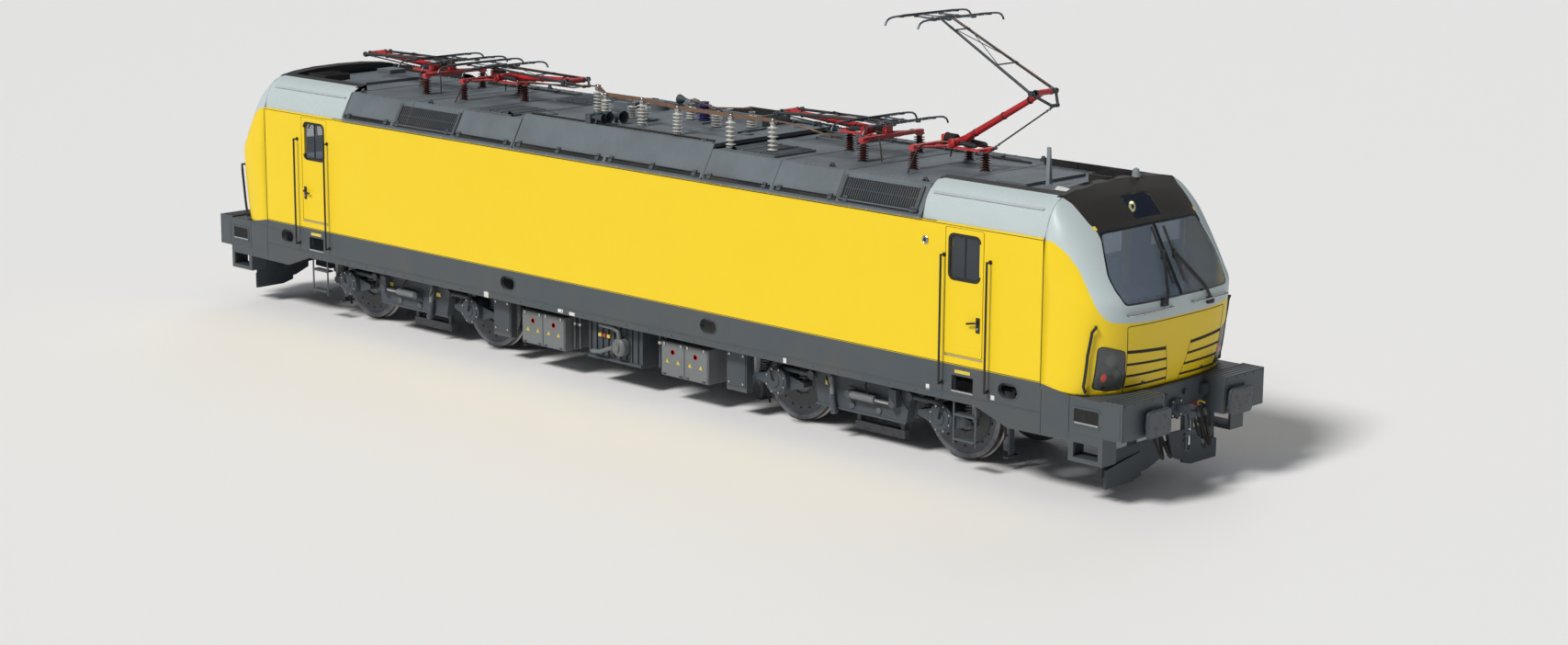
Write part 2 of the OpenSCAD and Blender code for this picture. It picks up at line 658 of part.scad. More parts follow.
color("slategray") pan_head(1);  // pan_head_2
color("slategray") pan_head(2);  // pan_head_3
color("slategray") pan_head(3);  // pan_head_4
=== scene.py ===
"""Looks of a four-axle electric locomotive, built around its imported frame."""

import json
from math import atan2, cos, pi, radians, sin, tau

import bmesh
import bpy
import numpy as np
from bpy.props import FloatProperty, FloatVectorProperty, PointerProperty
from mathutils import Matrix, Vector


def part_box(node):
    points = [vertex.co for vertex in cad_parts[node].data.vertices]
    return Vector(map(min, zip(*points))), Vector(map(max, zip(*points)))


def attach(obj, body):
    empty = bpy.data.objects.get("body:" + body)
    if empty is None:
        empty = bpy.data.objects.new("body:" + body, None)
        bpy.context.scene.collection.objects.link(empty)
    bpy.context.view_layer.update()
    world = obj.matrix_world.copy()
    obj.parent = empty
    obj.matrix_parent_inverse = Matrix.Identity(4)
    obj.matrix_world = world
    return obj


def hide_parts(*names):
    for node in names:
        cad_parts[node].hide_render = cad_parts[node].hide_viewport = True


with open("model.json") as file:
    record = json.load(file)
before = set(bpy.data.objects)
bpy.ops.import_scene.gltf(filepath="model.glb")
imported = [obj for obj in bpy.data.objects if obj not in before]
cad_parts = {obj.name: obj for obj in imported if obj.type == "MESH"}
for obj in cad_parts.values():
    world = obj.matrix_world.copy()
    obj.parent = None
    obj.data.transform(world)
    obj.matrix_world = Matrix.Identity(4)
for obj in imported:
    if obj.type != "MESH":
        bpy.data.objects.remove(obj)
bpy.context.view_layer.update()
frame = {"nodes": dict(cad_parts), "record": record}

bl_info = {"name": "Electric Locomotive", "version": (1, 0, 0), "blender": (4, 5, 0),
    "location": "View3D > Sidebar > Locomotive",
    "description": "Builds the panels, glass, running gear and roof gear of an electric locomotive",
    "category": "Add Mesh",}

RAIL = 0.028                     # top of rail above the flange tips
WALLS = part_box("side_walls")
HALF_W = WALLS[1].y
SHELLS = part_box("cab_shells")
NOSE_X = SHELLS[1].x + 0.006     # seam plane behind each nose
SHELL_X = 6.040                  # inner end of the cab roof
WELL_END = 7.885                 # outer end of the cab roof's equipment well
CROWN = SHELLS[1].z
EAVE = SHELLS[0].z
ROOF = EAVE + 0.420              # flat roof of the machine room
MIDDLE_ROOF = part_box("roof_hoods")[1].z
HOOD_SEAM = 1.99
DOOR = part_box("cab_door_front_left")
DOOR_MID = 6.785
BOGIE_X = 4.75
AXLE_DX = 1.5
WHEEL_R = 0.625
AXLE_Z = WHEEL_R + RAIL
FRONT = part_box("buffers")[1].x

# ------------------------------------------------------------------ user settings


def colour(name, description, default):
    return FloatVectorProperty(name=name, description=description, subtype="COLOR", default=default, min=0,
        max=1)


class LocoColours(bpy.types.PropertyGroup):
    """Paint colours, linear"""

    body: colour("Body", "Main paint of walls and noses", (0.9, 0.64, 0.006))
    shoulder: colour("Shoulder", "Paint of the cab roof's shoulders", (0.52, 0.6, 0.61))
    cap: colour("Cap", "Paint of the cab roof above the windscreen", (0.02, 0.019, 0.018))
    frame: colour("Frame", "Paint of the solebar, end beams and steps", (0.06, 0.077, 0.092))
    roof: colour("Roof", "Paint of the machine room's roof", (0.13, 0.157, 0.178))
    gear: colour("Running gear", "Paint of bogies, buffers and coupling", (0.042, 0.056, 0.072))
    arms: colour("Pantograph", "Paint of the pantographs' bases and lower arms", (0.5, 0.016, 0.02))


class LocoSizes(bpy.types.PropertyGroup):
    """Sizes of trim that the frame leaves open"""

    seam: FloatProperty(name="Seam", description="Width of the joint round the nose hatch", default=0.01,
        min=0.004, max=0.03, unit="LENGTH")
    bevel: FloatProperty(name="Bevel", description="Edge radius of the underframe", default=0.005,
        min=0.001, max=0.02, unit="LENGTH")
    dust: FloatProperty(name="Dust", description="Share of road dust on the running gear", default=0.3,
        min=0, max=1, subtype="FACTOR")


def colours():
    return bpy.context.scene.loco_colours


def sizes():
    return bpy.context.scene.loco_sizes


# ------------------------------------------------------------------ shader groups


def wire(tree, a, b):
    tree.links.new(a, b)


def new_group(name, inputs, outputs):
    """An empty node group with named sockets: (name, kind, default)."""
    g = bpy.data.node_groups.new(name, "ShaderNodeTree")
    for key, kind, value in inputs:
        s = g.interface.new_socket(name=key, in_out="INPUT", socket_type=kind)
        if value is not None:
            s.default_value = value
    for key, kind in outputs:
        g.interface.new_socket(name=key, in_out="OUTPUT", socket_type=kind)
    return g, g.nodes.new("NodeGroupInput"), g.nodes.new("NodeGroupOutput")


def ramp(tree, source, low, high):
    n = tree.nodes.new("ShaderNodeMapRange")
    n.interpolation_type = "SMOOTHSTEP"
    n.inputs["From Min"].default_value = low
    n.inputs["From Max"].default_value = high
    wire(tree, source, n.inputs["Value"])
    return n.outputs[0]


def noise(tree, at, scale, detail=2):
    n = tree.nodes.new("ShaderNodeTexNoise")
    n.inputs["Scale"].default_value = scale
    n.inputs["Detail"].default_value = detail
    if at:
        wire(tree, at, n.inputs["Vector"])
    return n.outputs[0]


def upward(tree, source):
    n = tree.nodes.new("ShaderNodeSeparateXYZ")
    wire(tree, source, n.inputs[0])
    return n.outputs["Z"]


def maths(tree, op, a, b=None):
    n = tree.nodes.new("ShaderNodeMath")
    n.operation = op
    for i, v in enumerate((a, b)):
        if v is None:
            continue
        if isinstance(v, (int, float)):
            n.inputs[i].default_value = v
        else:
            wire(tree, v, n.inputs[i])
    return n.outputs[0]


def times(tree, a, b):
    return maths(tree, "MULTIPLY", a, b)


def plus(tree, a, b):
    return maths(tree, "ADD", a, b)


def mixed(tree, fac, a, b):
    n = tree.nodes.new("ShaderNodeMix")
    n.data_type = "RGBA"
    for key, v in (("Factor_Float", fac), ("A_Color", a), ("B_Color", b)):
        s = next(i for i in n.inputs if i.identifier == key)
        if isinstance(v, (int, float)):
            s.default_value = v
        elif isinstance(v, (tuple, list)):
            s.default_value = (*v[:3], 1)
        else:
            wire(tree, v, s)
    return next(o for o in n.outputs if o.identifier == "Result_Color")


def build_paint_group():
    """Painted steel: cloudy shade, rain streaks, dust that settles low and on top, worn edges."""
    g, i, o = new_group("painted_surface", [("Paint", "NodeSocketColor", (0.5, 0.5, 0.5, 1)),
        ("Dirt", "NodeSocketColor", (0.1, 0.085, 0.065, 1)), ("Cloud", "NodeSocketFloat", 0.06),
        ("Streaks", "NodeSocketFloat", 0.1), ("Dust", "NodeSocketFloat", 0.1),
        ("Wear", "NodeSocketFloat", 0.2), ("Gloss", "NodeSocketFloat", 0.35),
        ("Peel", "NodeSocketFloat", 1.0)], [("Color", "NodeSocketColor"), ("Roughness", "NodeSocketFloat"),
        ("Height", "NodeSocketFloat")])
    put = i.outputs
    at = g.nodes.new("ShaderNodeTexCoord").outputs["Object"]
    stretch = g.nodes.new("ShaderNodeMapping")
    stretch.inputs["Scale"].default_value = (9, 9, 0.8)
    wire(g, at, stretch.inputs["Vector"])
    geo = g.nodes.new("ShaderNodeNewGeometry").outputs
    fine = noise(g, at, 55, 4)
    grain = ramp(g, fine, 0.3, 0.66)
    streak = ramp(g, noise(g, stretch.outputs[0], 1.4, 5), 0.48, 0.72)
    cloud = ramp(g, noise(g, at, 1.7, 6), 0.35, 0.75)
    low = ramp(g, upward(g, at), 1.5, 0.1)
    top = ramp(g, upward(g, geo["Normal"]), 0.3, 1.0)
    settle = maths(g, "MAXIMUM", times(g, low, 0.9), times(g, top, 0.7))
    settle = times(g, settle, plus(g, times(g, grain, 0.6), 0.4))
    dirty = plus(g, times(g, settle, put["Dust"]), times(g, streak, put["Streaks"]))
    clouded = mixed(g, times(g, cloud, put["Cloud"]), put["Paint"], put["Dirt"])
    soiled = mixed(g, dirty, clouded, put["Dirt"])
    worn = times(g, times(g, ramp(g, geo["Pointiness"], 0.53, 0.62), grain), put["Wear"])
    pale = g.nodes.new("ShaderNodeHueSaturation")
    pale.inputs["Saturation"].default_value = 0.6
    pale.inputs["Value"].default_value = 2.2
    wire(g, put["Paint"], pale.inputs["Color"])
    wire(g, mixed(g, worn, soiled, pale.outputs[0]), o.inputs["Color"])
    rough = plus(g, put["Gloss"], times(g, dirty, 0.45))
    wire(g, plus(g, rough, times(g, cloud, 0.06)), o.inputs["Roughness"])
    wire(g, plus(g, times(g, fine, put["Peel"]), times(g, dirty, 1.5)), o.inputs["Height"])
    return g


def build_metal_group():
    """Bare or cast metal: mottled shade, brushed or pitted height, rust that gathers in hollows."""
    g, i, o = new_group("bare_metal", [("Metal", "NodeSocketColor", (0.4, 0.4, 0.4, 1)),
        ("Rust", "NodeSocketColor", (0.11, 0.05, 0.025, 1)), ("Rusting", "NodeSocketFloat", 0.2),
        ("Gloss", "NodeSocketFloat", 0.35), ("Pitting", "NodeSocketFloat", 1.0)],
        [("Color", "NodeSocketColor"), ("Roughness", "NodeSocketFloat"), ("Height", "NodeSocketFloat")])
    put = i.outputs
    at = g.nodes.new("ShaderNodeTexCoord").outputs["Object"]
    spots = noise(g, at, 14, 8)
    pits = g.nodes.new("ShaderNodeTexVoronoi")
    pits.inputs["Scale"].default_value = 160
    wire(g, at, pits.inputs["Vector"])
    hollow = ramp(g, g.nodes.new("ShaderNodeNewGeometry").outputs["Pointiness"], 0.52, 0.44)
    rusty = times(g, maths(g, "MAXIMUM", ramp(g, spots, 0.48, 0.68), hollow), put["Rusting"])
    wire(g, mixed(g, rusty, put["Metal"], put["Rust"]), o.inputs["Color"])
    wire(g, plus(g, put["Gloss"], times(g, rusty, 0.5)), o.inputs["Roughness"])
    dents = times(g, pits.outputs["Distance"], put["Pitting"])
    wire(g, plus(g, dents, times(g, spots, 0.8)), o.inputs["Height"])
    return g


def principled(name):
    m = bpy.data.materials.new(name)
    m.use_nodes = True
    return m, m.node_tree, m.node_tree.nodes["Principled BSDF"]


def group_material(name, group, values, bump, distance, metallic=0.0, coat=0.0):
    """A Principled material fed by one of the shared groups."""
    m, t, p = principled(name)
    n = t.nodes.new("ShaderNodeGroup")
    n.node_tree = bpy.data.node_groups[group]
    n.location.x = -500
    for key, value in values.items():
        n.inputs[key].default_value = (*value, 1) if isinstance(value, (tuple, list)) else value
    wire(t, n.outputs["Color"], p.inputs["Base Color"])
    wire(t, n.outputs["Roughness"], p.inputs["Roughness"])
    b = t.nodes.new("ShaderNodeBump")
    b.location.x = -250
    b.inputs["Strength"].default_value = bump
    b.inputs["Distance"].default_value = distance
    wire(t, n.outputs["Height"], b.inputs["Height"])
    wire(t, b.outputs[0], p.inputs["Normal"])
    p.inputs["Metallic"].default_value = metallic
    p.inputs["Coat Weight"].default_value = coat
    p.inputs["Coat Roughness"].default_value = 0.08
    return m


def paint(name, colour, gloss=0.35, cloud=0.06, streaks=0.06, dust=0.1, wear=0.2, peel=1.0, coat=0.0,
        dirt=(0.13, 0.11, 0.085), bump=0.12, distance=0.001, metallic=0.0):
    return group_material(name, "painted_surface", {"Paint": tuple(colour), "Dirt": dirt, "Cloud": cloud,
        "Streaks": streaks, "Dust": dust, "Wear": wear, "Gloss": gloss, "Peel": peel}, bump, distance,
        metallic, coat)


def metal(name, colour, gloss=0.35, rusting=0.2, pitting=1.0, metallic=1.0, bump=0.15, distance=0.001,
        rust=(0.11, 0.05, 0.025)):
    return group_material(name, "bare_metal", {"Metal": tuple(colour), "Rust": rust, "Rusting": rusting,
        "Gloss": gloss, "Pitting": pitting}, bump, distance, metallic)


def glass(name, colour, alpha, roughness=0.04):
    m, t, p = principled(name)
    p.inputs["Base Color"].default_value = (*colour, 1)
    p.inputs["Roughness"].default_value = roughness
    p.inputs["Alpha"].default_value = alpha
    p.inputs["IOR"].default_value = 1.5
    spread = ramp(t, noise(t, None, 2.5), 0.3, 0.7)
    spread.node.inputs["To Min"].default_value = roughness
    spread.node.inputs["To Max"].default_value = roughness * 2.2
    wire(t, spread, p.inputs["Roughness"])
    return m


def lamp(name, colour, glow):
    m, t, p = principled(name)
    p.inputs["Base Color"].default_value = (*colour, 1)
    p.inputs["Roughness"].default_value = 0.2
    p.inputs["Emission Color"].default_value = (*colour, 1)
    p.inputs["Emission Strength"].default_value = glow
    cells = t.nodes.new("ShaderNodeTexVoronoi")
    cells.inputs["Scale"].default_value = 60
    b = t.nodes.new("ShaderNodeBump")
    b.inputs["Strength"].default_value = 0.4
    b.inputs["Distance"].default_value = 0.004
    wire(t, cells.outputs["Distance"], b.inputs["Height"])
    wire(t, b.outputs[0], p.inputs["Normal"])
    return m


MATERIALS = {}


def mat(name):
    """A material by its short name; all are built when the first is asked for."""
    if not MATERIALS:
        build_materials()
    return MATERIALS[name]


def build_materials():
    build_paint_group()
    build_metal_group()
    c = colours()
    dust = sizes().dust
    MATERIALS.update({"body": paint("body_paint", c.body, gloss=0.42, cloud=0.02, streaks=0.01, dust=0.02,
        wear=0, coat=0.0, dirt=(0.45, 0.33, 0.05), bump=0.05), "shoulder": paint("shoulder_paint",
        c.shoulder, gloss=0.25, cloud=0.1, streaks=0.04, dust=0.05, wear=0, coat=0.35,
        dirt=(0.33, 0.37, 0.38), bump=0.05), "cap": paint("cap_paint", c.cap, gloss=0.55, cloud=0.2,
        dust=0.1, wear=0, dirt=(0.07, 0.06, 0.055)), "frame": paint("frame_paint", c.frame, gloss=0.42,
        cloud=0.25, streaks=0.1, dust=dust * 0.4, wear=0.25), "roof": paint("roof_paint", c.roof, gloss=0.5,
        cloud=0.55, streaks=0.1, dust=0.25, wear=0.15, dirt=(0.075, 0.085, 0.092)),
        "gear": paint("gear_paint", c.gear, gloss=0.5, cloud=0.35, streaks=0.15, dust=dust, wear=0.35,
        dirt=(0.08, 0.085, 0.09), bump=0.25, distance=0.002), "case": paint("case_paint",
        (0.16, 0.178, 0.19), gloss=0.45, cloud=0.3, streaks=0.12, dust=dust * 0.6, wear=0.3,
        dirt=(0.09, 0.08, 0.07)), "arms": paint("arm_paint", c.arms, gloss=0.36, cloud=0.3, streaks=0.1,
        dust=0.08, wear=0.25, dirt=(0.1, 0.012, 0.012)), "dark_arm": paint("dark_arm_paint",
        (0.04, 0.05, 0.06), gloss=0.38, cloud=0.3, dust=0.1, wear=0.3, metallic=0.4),
        "head": metal("head_alloy", (0.16, 0.19, 0.21), gloss=0.42, rusting=0.3, rust=(0.06, 0.06, 0.06)),
        "black": paint("black_trim", (0.008, 0.009, 0.011), gloss=0.4, cloud=0.15, dust=0.05, wear=0.1),
        "rubber": paint("rubber_trim", (0.01, 0.01, 0.011), gloss=0.68, cloud=0.2, dust=0.12, wear=0,
        # near black: the dark of panel joints, and painted shade in the openings of slots, louvres,
        # grilles, holes and steps
        bump=0.3), "slot": paint("dark_joint_and_painted_shade", (0.004, 0.004, 0.005), gloss=0.7, cloud=0.1, dust=0.02,
        wear=0), "lining": paint("cab_lining", (0.5, 0.54, 0.58), gloss=0.55, cloud=0.08, dust=0.03, wear=0,
        bump=0.3), "desk": paint("desk_trim", (0.24, 0.31, 0.39), gloss=0.5, cloud=0.1, dust=0.03, wear=0.1,
        bump=0.4), "seat": paint("seat_cloth", (0.02, 0.024, 0.036), gloss=0.85, cloud=0.3, dust=0.05,
        wear=0, peel=3, bump=0.6), "label": paint("label_plate", (0.72, 0.56, 0.02), gloss=0.4, cloud=0.2,
        dust=0.1, wear=0.3), "red": paint("red_cock", (0.45, 0.01, 0.012), gloss=0.35, cloud=0.2, dust=0.1,
        wear=0.3), "cream": paint("cream_glaze", (0.66, 0.66, 0.62), gloss=0.16, cloud=0.25, streaks=0.2,
        dust=0.2, wear=0, coat=0.5, dirt=(0.2, 0.18, 0.15)), "brown": paint("brown_glaze",
        (0.075, 0.022, 0.018), gloss=0.2, cloud=0.2, streaks=0.1, dust=0.15, wear=0, coat=0.5,
        dirt=(0.07, 0.045, 0.04)), "blue": paint("blue_glaze", (0.016, 0.022, 0.15), gloss=0.25, cloud=0.2,
        dust=0.15, wear=0, coat=0.4), "bus": metal("bus_copper", (0.2, 0.11, 0.068), gloss=0.5,
        rusting=0.35, metallic=0.3, rust=(0.09, 0.058, 0.042)), "steel": metal("bright_steel",
        (0.5, 0.51, 0.52), gloss=0.24, rusting=0.15), "tread": metal("tread_steel", (0.34, 0.33, 0.32),
        gloss=0.28, rusting=0.35, pitting=0.6), "wheel": metal("wheel_steel", (0.15, 0.165, 0.185),
        gloss=0.55, rusting=0.45, metallic=0.0, rust=(0.085, 0.078, 0.072)),
        "iron": metal("cast_iron", (0.11, 0.122, 0.135), gloss=0.55, rusting=0.4, pitting=2, metallic=0.0,
        bump=0.35, distance=0.003, rust=(0.07, 0.06, 0.052)), "coil": metal("coil_steel",
        (0.095, 0.11, 0.125), gloss=0.38, rusting=0.2, metallic=0.1, rust=(0.055, 0.048, 0.042)),
        "antenna": paint("antenna_moulding", (0.26, 0.29, 0.31), gloss=0.45, cloud=0.2, dust=0.1, wear=0.1),
        "side_pane": glass("door_glass", (0.075, 0.095, 0.12), 0.3),
        "white_lamp": lamp("headlamp", (0.95, 0.92, 0.45), 0.9), "plate": paint("white_plate",
        (0.7, 0.71, 0.7), gloss=0.4, cloud=0.2, dust=0.1, wear=0.2),
        "off_lamp": lamp("unlit_lamp", (0.16, 0.17, 0.17), 0.0), "tail_lamp": lamp("tail_lamp",
        (0.85, 0.03, 0.015), 0.6), "floor": paint("studio_floor", (0.93, 0.93, 0.93), gloss=0.75, cloud=0.0,
        streaks=0, dust=0, wear=0, bump=0.02),})


# ------------------------------------------------------------------ mesh builder

MIRROR_X = Matrix.Diagonal((-1, 1, 1, 1))
MIRROR_Y = Matrix.Diagonal((1, -1, 1, 1))
HALF_TURN = Matrix.Rotation(pi, 4, "Z")
ONE = [Matrix.Identity(4)]
ENDS = [Matrix.Identity(4), HALF_TURN]
SIDES = [Matrix.Identity(4), MIRROR_Y]
CORNERS = [Matrix.Identity(4), MIRROR_Y, MIRROR_X, HALF_TURN]
BOX_FACES = [(0, 1, 3, 2), (4, 6, 7, 5), (0, 4, 5, 1), (2, 3, 7, 6), (0, 2, 6, 4), (1, 5, 7, 3)]
AHEAD = (1, 0, 0)
ACROSS = (0, 1, 0)
NEAR = (0, -1, 0)
UP = (0, 0, 1)
TIP = 0.0001                     # radius at which a turned profile counts as closed
SKIM = 0.0005                    # gap that keeps a piece off the box of its frame


def turned(axis):
    """A rotation that takes +Z to the given direction."""
    return Vector((0, 0, 1)).rotation_difference(Vector(axis)).to_matrix().to_4x4()


class Build:
    """Collects vertices and faces of one piece, each face with a material's name."""

    def __init__(self, lift=0.0):
        self.verts, self.faces, self.names = [], [], []
        self.lift = Vector((0, 0, lift))

    def add(self, verts, faces, name, places=ONE):
        for place in places:
            base = len(self.verts)
            flip = place.determinant() < 0
            self.verts += [place @ Vector(v) + self.lift for v in verts]
            self.faces += [[base + k for k in (reversed(f) if flip else f)] for f in faces]
            self.names += [name] * len(faces)

    def box(self, low, high, name, places=ONE):
        (a, b, c), (d, e, f) = low, high
        v = [(x, y, z) for x in (a, d) for y in (b, e) for z in (c, f)]
        self.add(v, BOX_FACES, name, places)

    def boxes(self, name, places, *rows):
        """Boxes of one material, each from its two corners' six values."""
        for row in rows:
            self.box(row[:3], row[3:], name, places)

    def lathe(self, profile, at, axis, name, n=32, places=ONE, arc=tau, caps=True):
        """Turns (radius, height) points about an axis through a point."""
        m = Matrix.Translation(at) @ turned(axis)
        closed = arc > tau - 0.001
        steps = n if closed else n + 1
        v = [m @ Vector((r * cos(arc * k / n), r * sin(arc * k / n), h)) for k in range(steps) for r,
            h in profile]
        s = len(profile)
        faces = [(k * s + j, ((k + 1) % steps) * s + j, ((k + 1) % steps) * s + j + 1, k * s + j + 1)
            for k in range(n) for j in range(s - 1)]
        self.add(v, faces, name, places)
        if closed and caps:
            for j, order in ((0, -1), (s - 1, 1)):
                if profile[j][0] > 1e-6:
                    self.add([v[k * s + j] for k in range(n)], [list(range(n))[::order]], name, places)

    def bolt(self, r, height, at, axis, *rest):
        """A bolt's or button's head, slightly domed."""
        self.lathe([(r, 0), (r, height), (TIP, height + 0.002)], at, axis, *rest)

    def roller(self, r, half, at, axis, *rest):
        """A short cylinder that reaches as far to either side of a point."""
        self.lathe([(r, -half), (r, half)], at, axis, *rest)

    def rod(self, a, b, r, name, n=14, places=ONE, chamfer=0.0):
        """A round bar between two points."""
        d = Vector(b) - Vector(a)
        h = d.length
        c = min(chamfer, r * 0.5, h * 0.4)
        self.lathe([(r - c, 0), (r, c), (r, h - c), (r - c, h)] if c else [(r, 0), (r, h)], a, d, name, n,
            places)

    def tube(self, points, r, name, n=8, places=ONE):
        """A round bar along a line of points."""
        p = [Vector(q) for q in points]
        rings, side = [], None
        for k, q in enumerate(p):
            t = (p[min(k + 1, len(p) - 1)] - p[max(k - 1, 0)]).normalized()
            if side is None:
                side = t.orthogonal().normalized()
            side = (side - t * side.dot(t)).normalized()
            up = t.cross(side)
            rings += [q + (side * cos(tau * j / n) + up * sin(tau * j / n)) * r for j in range(n)]
        faces = [(k * n + j, k * n + (j + 1) % n, (k + 1) * n + (j + 1) % n, (k + 1) * n + j)
            for k in range(len(p) - 1) for j in range(n)]
        last = (len(p) - 1) * n
        faces += [list(range(n))[::-1], [last + j for j in range(n)]]
        self.add(rings, faces, name, places)

    def plate(self, outline, depth, place, name, places=ONE):
        """An outline in its own X and Y, raised by depth, set by a matrix."""
        n = len(outline)
        v = [place @ Vector((x, y, z)) for z in (0, depth) for x, y in outline]
        faces = [list(range(n))[::-1], list(range(n, 2 * n))]
        faces += [(k, (k + 1) % n, n + (k + 1) % n, n + k) for k in range(n)]
        self.add(v, faces, name, places)

    def band(self, rows, name, places=ONE, closed=False):
        """A sheet through rows of points."""
        w = len(rows[0])
        v = [q for row in rows for q in row]
        faces = [(k * w + j, k * w + (j + 1) % w, (k + 1) * w + (j + 1) % w, (k + 1) * w + j)
            for k in range(len(rows) - 1) for j in range(w if closed else w - 1)]
        self.add(v, faces, name, places)

    def make(self, name, body, slot=None, bevel=0.0, sharp=35, replaces=(), weld=False, solid=0.0):
        mesh = bpy.data.meshes.new(name)
        mesh.from_pydata([tuple(v) for v in self.verts], [], self.faces)
        used = list(dict.fromkeys(self.names))
        for key in used:
            mesh.materials.append(mat(key))
        mesh.polygons.foreach_set("material_index", [used.index(k) for k in self.names])
        return finish_piece(name, mesh, body, bevel, sharp, replaces, weld, solid)


def finish_piece(name, mesh, body, bevel=0.0, sharp=35, replaces=(), weld=False, solid=0.0):
    if weld:
        bm = bmesh.new()
        bm.from_mesh(mesh)
        bmesh.ops.remove_doubles(bm, verts=bm.verts, dist=0.0002)
        bm.to_mesh(mesh)
        bm.free()
    mesh.validate()
    mesh.polygons.foreach_set("use_smooth", [True] * len(mesh.polygons))
    mesh.set_sharp_from_angle(angle=radians(sharp))
    piece = bpy.data.objects.new(name, mesh)
    bpy.context.scene.collection.objects.link(piece)
    if solid:
        s = piece.modifiers.new("thickness", "SOLIDIFY")
        s.thickness = solid
        s.offset = -1
    if bevel:
        b = piece.modifiers.new("edges", "BEVEL")
        b.width = bevel
        b.segments = 2
        b.limit_method = "ANGLE"
        b.angle_limit = radians(40)
        b.harden_normals = True
    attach(piece, body)
    if replaces:
        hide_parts(*replaces)
    return piece


def node_body(node):
    return next(b for b, nodes in frame["record"]["behaviour"]["bodies"].items() if node in nodes)


def refined(node, material, bevel=0.004):
    """A copy of a frame node with clean, rounded edges, which stands for it."""
    bm = bmesh.new()
    bm.from_mesh(frame["nodes"][node].data)
    bmesh.ops.remove_doubles(bm, verts=bm.verts, dist=0.0003)
    bmesh.ops.dissolve_limit(bm, angle_limit=radians(1.5), verts=bm.verts, edges=bm.edges)
    mesh = bpy.data.meshes.new(node + "_finished")
    bm.to_mesh(mesh)
    bm.free()
    mesh.materials.clear()
    mesh.materials.append(mat(material))
    mesh.polygons.foreach_set("material_index", [0] * len(mesh.polygons))
    return finish_piece(node + "_finished", mesh, node_body(node), bevel, 30, (node,))


# ------------------------------------------------------------------ nose surface

REACH = 1.037                    # how far the nose reaches ahead of its seam
LOW = RAIL
NOSE_ROWS = np.array([           # reach, height at the middle, half width, height at the seam, roundness
    [REACH - 0.125, 1.365, HALF_W, 1.365, 3.4],
    [REACH - 0.060, 1.600, HALF_W, 1.600, 3.5],
    [REACH - 0.026, 1.856, HALF_W, 1.856, 3.6],
    [REACH - 0.008, 2.180, HALF_W, 2.180, 3.8],
    [REACH, 2.497, HALF_W, 2.497, 3.9],
    [REACH - 0.105, 2.720, HALF_W, 2.710, 3.8],
    [REACH - 0.222, 2.930, HALF_W, 2.900, 3.6],
    [REACH - 0.345, 3.150, HALF_W - 0.002, 3.090, 3.3],
    [REACH - 0.472, 3.374, HALF_W - 0.012, 3.262, 3.0],
    [REACH - 0.545, 3.447, HALF_W - 0.045, 3.400, 2.8],
    [REACH - 0.655, 3.566, 1.425, 3.500, 2.7],
    [REACH - 0.813, 3.712, 1.370, 3.610, 2.6],
    [REACH - 0.940, 3.805, 1.288, 3.700, 2.5],
    [0.0, 3.871, 1.130, 3.785, 2.4],
])
NOSE_ROWS[:, [1, 3]] += RAIL
LAST_ROW = len(NOSE_ROWS) - 1
PANE_V = 0.69                    # share of the half width where the windscreen ends
PANE_U = (4.0, 8.0)              # rows where the windscreen starts and ends


def row_at(u):
    """The nose's row values between its listed rows, on smooth monotone curves."""
    k = min(int(u), LAST_ROW - 1)
    t = u - k
    p = NOSE_ROWS
    step = p[1:] - p[:-1]
    def slope(i):
        if i <= 0 or i >= LAST_ROW:
            return step[min(max(i, 0), LAST_ROW - 1)]
        a, b = step[i - 1], step[i]
        same = a * b > 0
        return np.where(same, 2 * a * b / np.where(same, a + b, 1), 0)
    a, b = slope(k), slope(k + 1)
    return (p[k] * (2 * t**3 - 3 * t**2 + 1) + a * (t**3 - 2 * t**2 + t) + p[k + 1] * (3 * t**2 - 2 * t**3)
        + b * (t**3 - t**2))


def nose_point(u, v, out=0.0):
    """A point on the nose: u runs up it, v from the middle to either seam, out is along its normal."""
    def at(u, v):
        r = row_at(min(max(u, 0), LAST_ROW))
        w = min(abs(v), 1.0)
        bend = (1 - w ** r[4]) ** (1 / r[4])
        return Vector((NOSE_X + r[0] * bend, r[2] * v, r[1] + (r[3] - r[1]) * w**3))
    p = at(u, v)
    if out:
        e = 0.02
        du = at(u + e, v) - at(u - e, v) if 0 < u < LAST_ROW else at(min(u + e, LAST_ROW),
            v) - at(max(u - e, 0), v)
        w = 0.004 if abs(v) < 0.99 else 0.0
        dv = at(u, v + w) - at(u, v - w) if w else Vector((-1, 0, 0)) * (1 if v > 0 else -1)
        normal = dv.cross(du).normalized()
        p = p + normal * out
    return p


def nose_at(y, z, out=0.0):
    """The nose's point at a side position and a height."""
    low, high = 0.0, float(LAST_ROW)
    for _ in range(24):
        u = (low + high) / 2
        r = row_at(u)
        v = max(-1.0, min(1.0, y / r[2]))
        if r[1] + (r[3] - r[1]) * abs(v) ** 3 < z:
            low = u
        else:
            high = u
    return nose_point(u, v, out)


def nose_line(points, step=0.04):
    """Points spread evenly along a line of (y, z) corners."""
    out = []
    for (y0, z0), (y1, z1) in zip(points, points[1:]):
        n = max(1, int(Vector((y1 - y0, z1 - z0)).length / step))
        out += [(y0 + (y1 - y0) * k / n, z0 + (z1 - z0) * k / n) for k in range(n)]
    return out + [points[-1]]


def nose_strip(b, points, width, name, out=0.0012, places=ENDS, thick=0.004):
    """A flat strip that follows the nose along a line of (y, z) points."""
    line = nose_line(rail_z(points))
    rows = []
    for k, (y, z) in enumerate(line):
        a, c = line[max(k - 1, 0)], line[min(k + 1, len(line) - 1)]
        t = Vector((c[0] - a[0], c[1] - a[1])).normalized() * width / 2
        left, right = (y - t.y, z + t.x), (y + t.y, z - t.x)
        rows.append([nose_at(*left, -thick), nose_at(*left, out), nose_at(*right, out),
            nose_at(*right, -thick)])
    b.band(rows, name, places, closed=True)


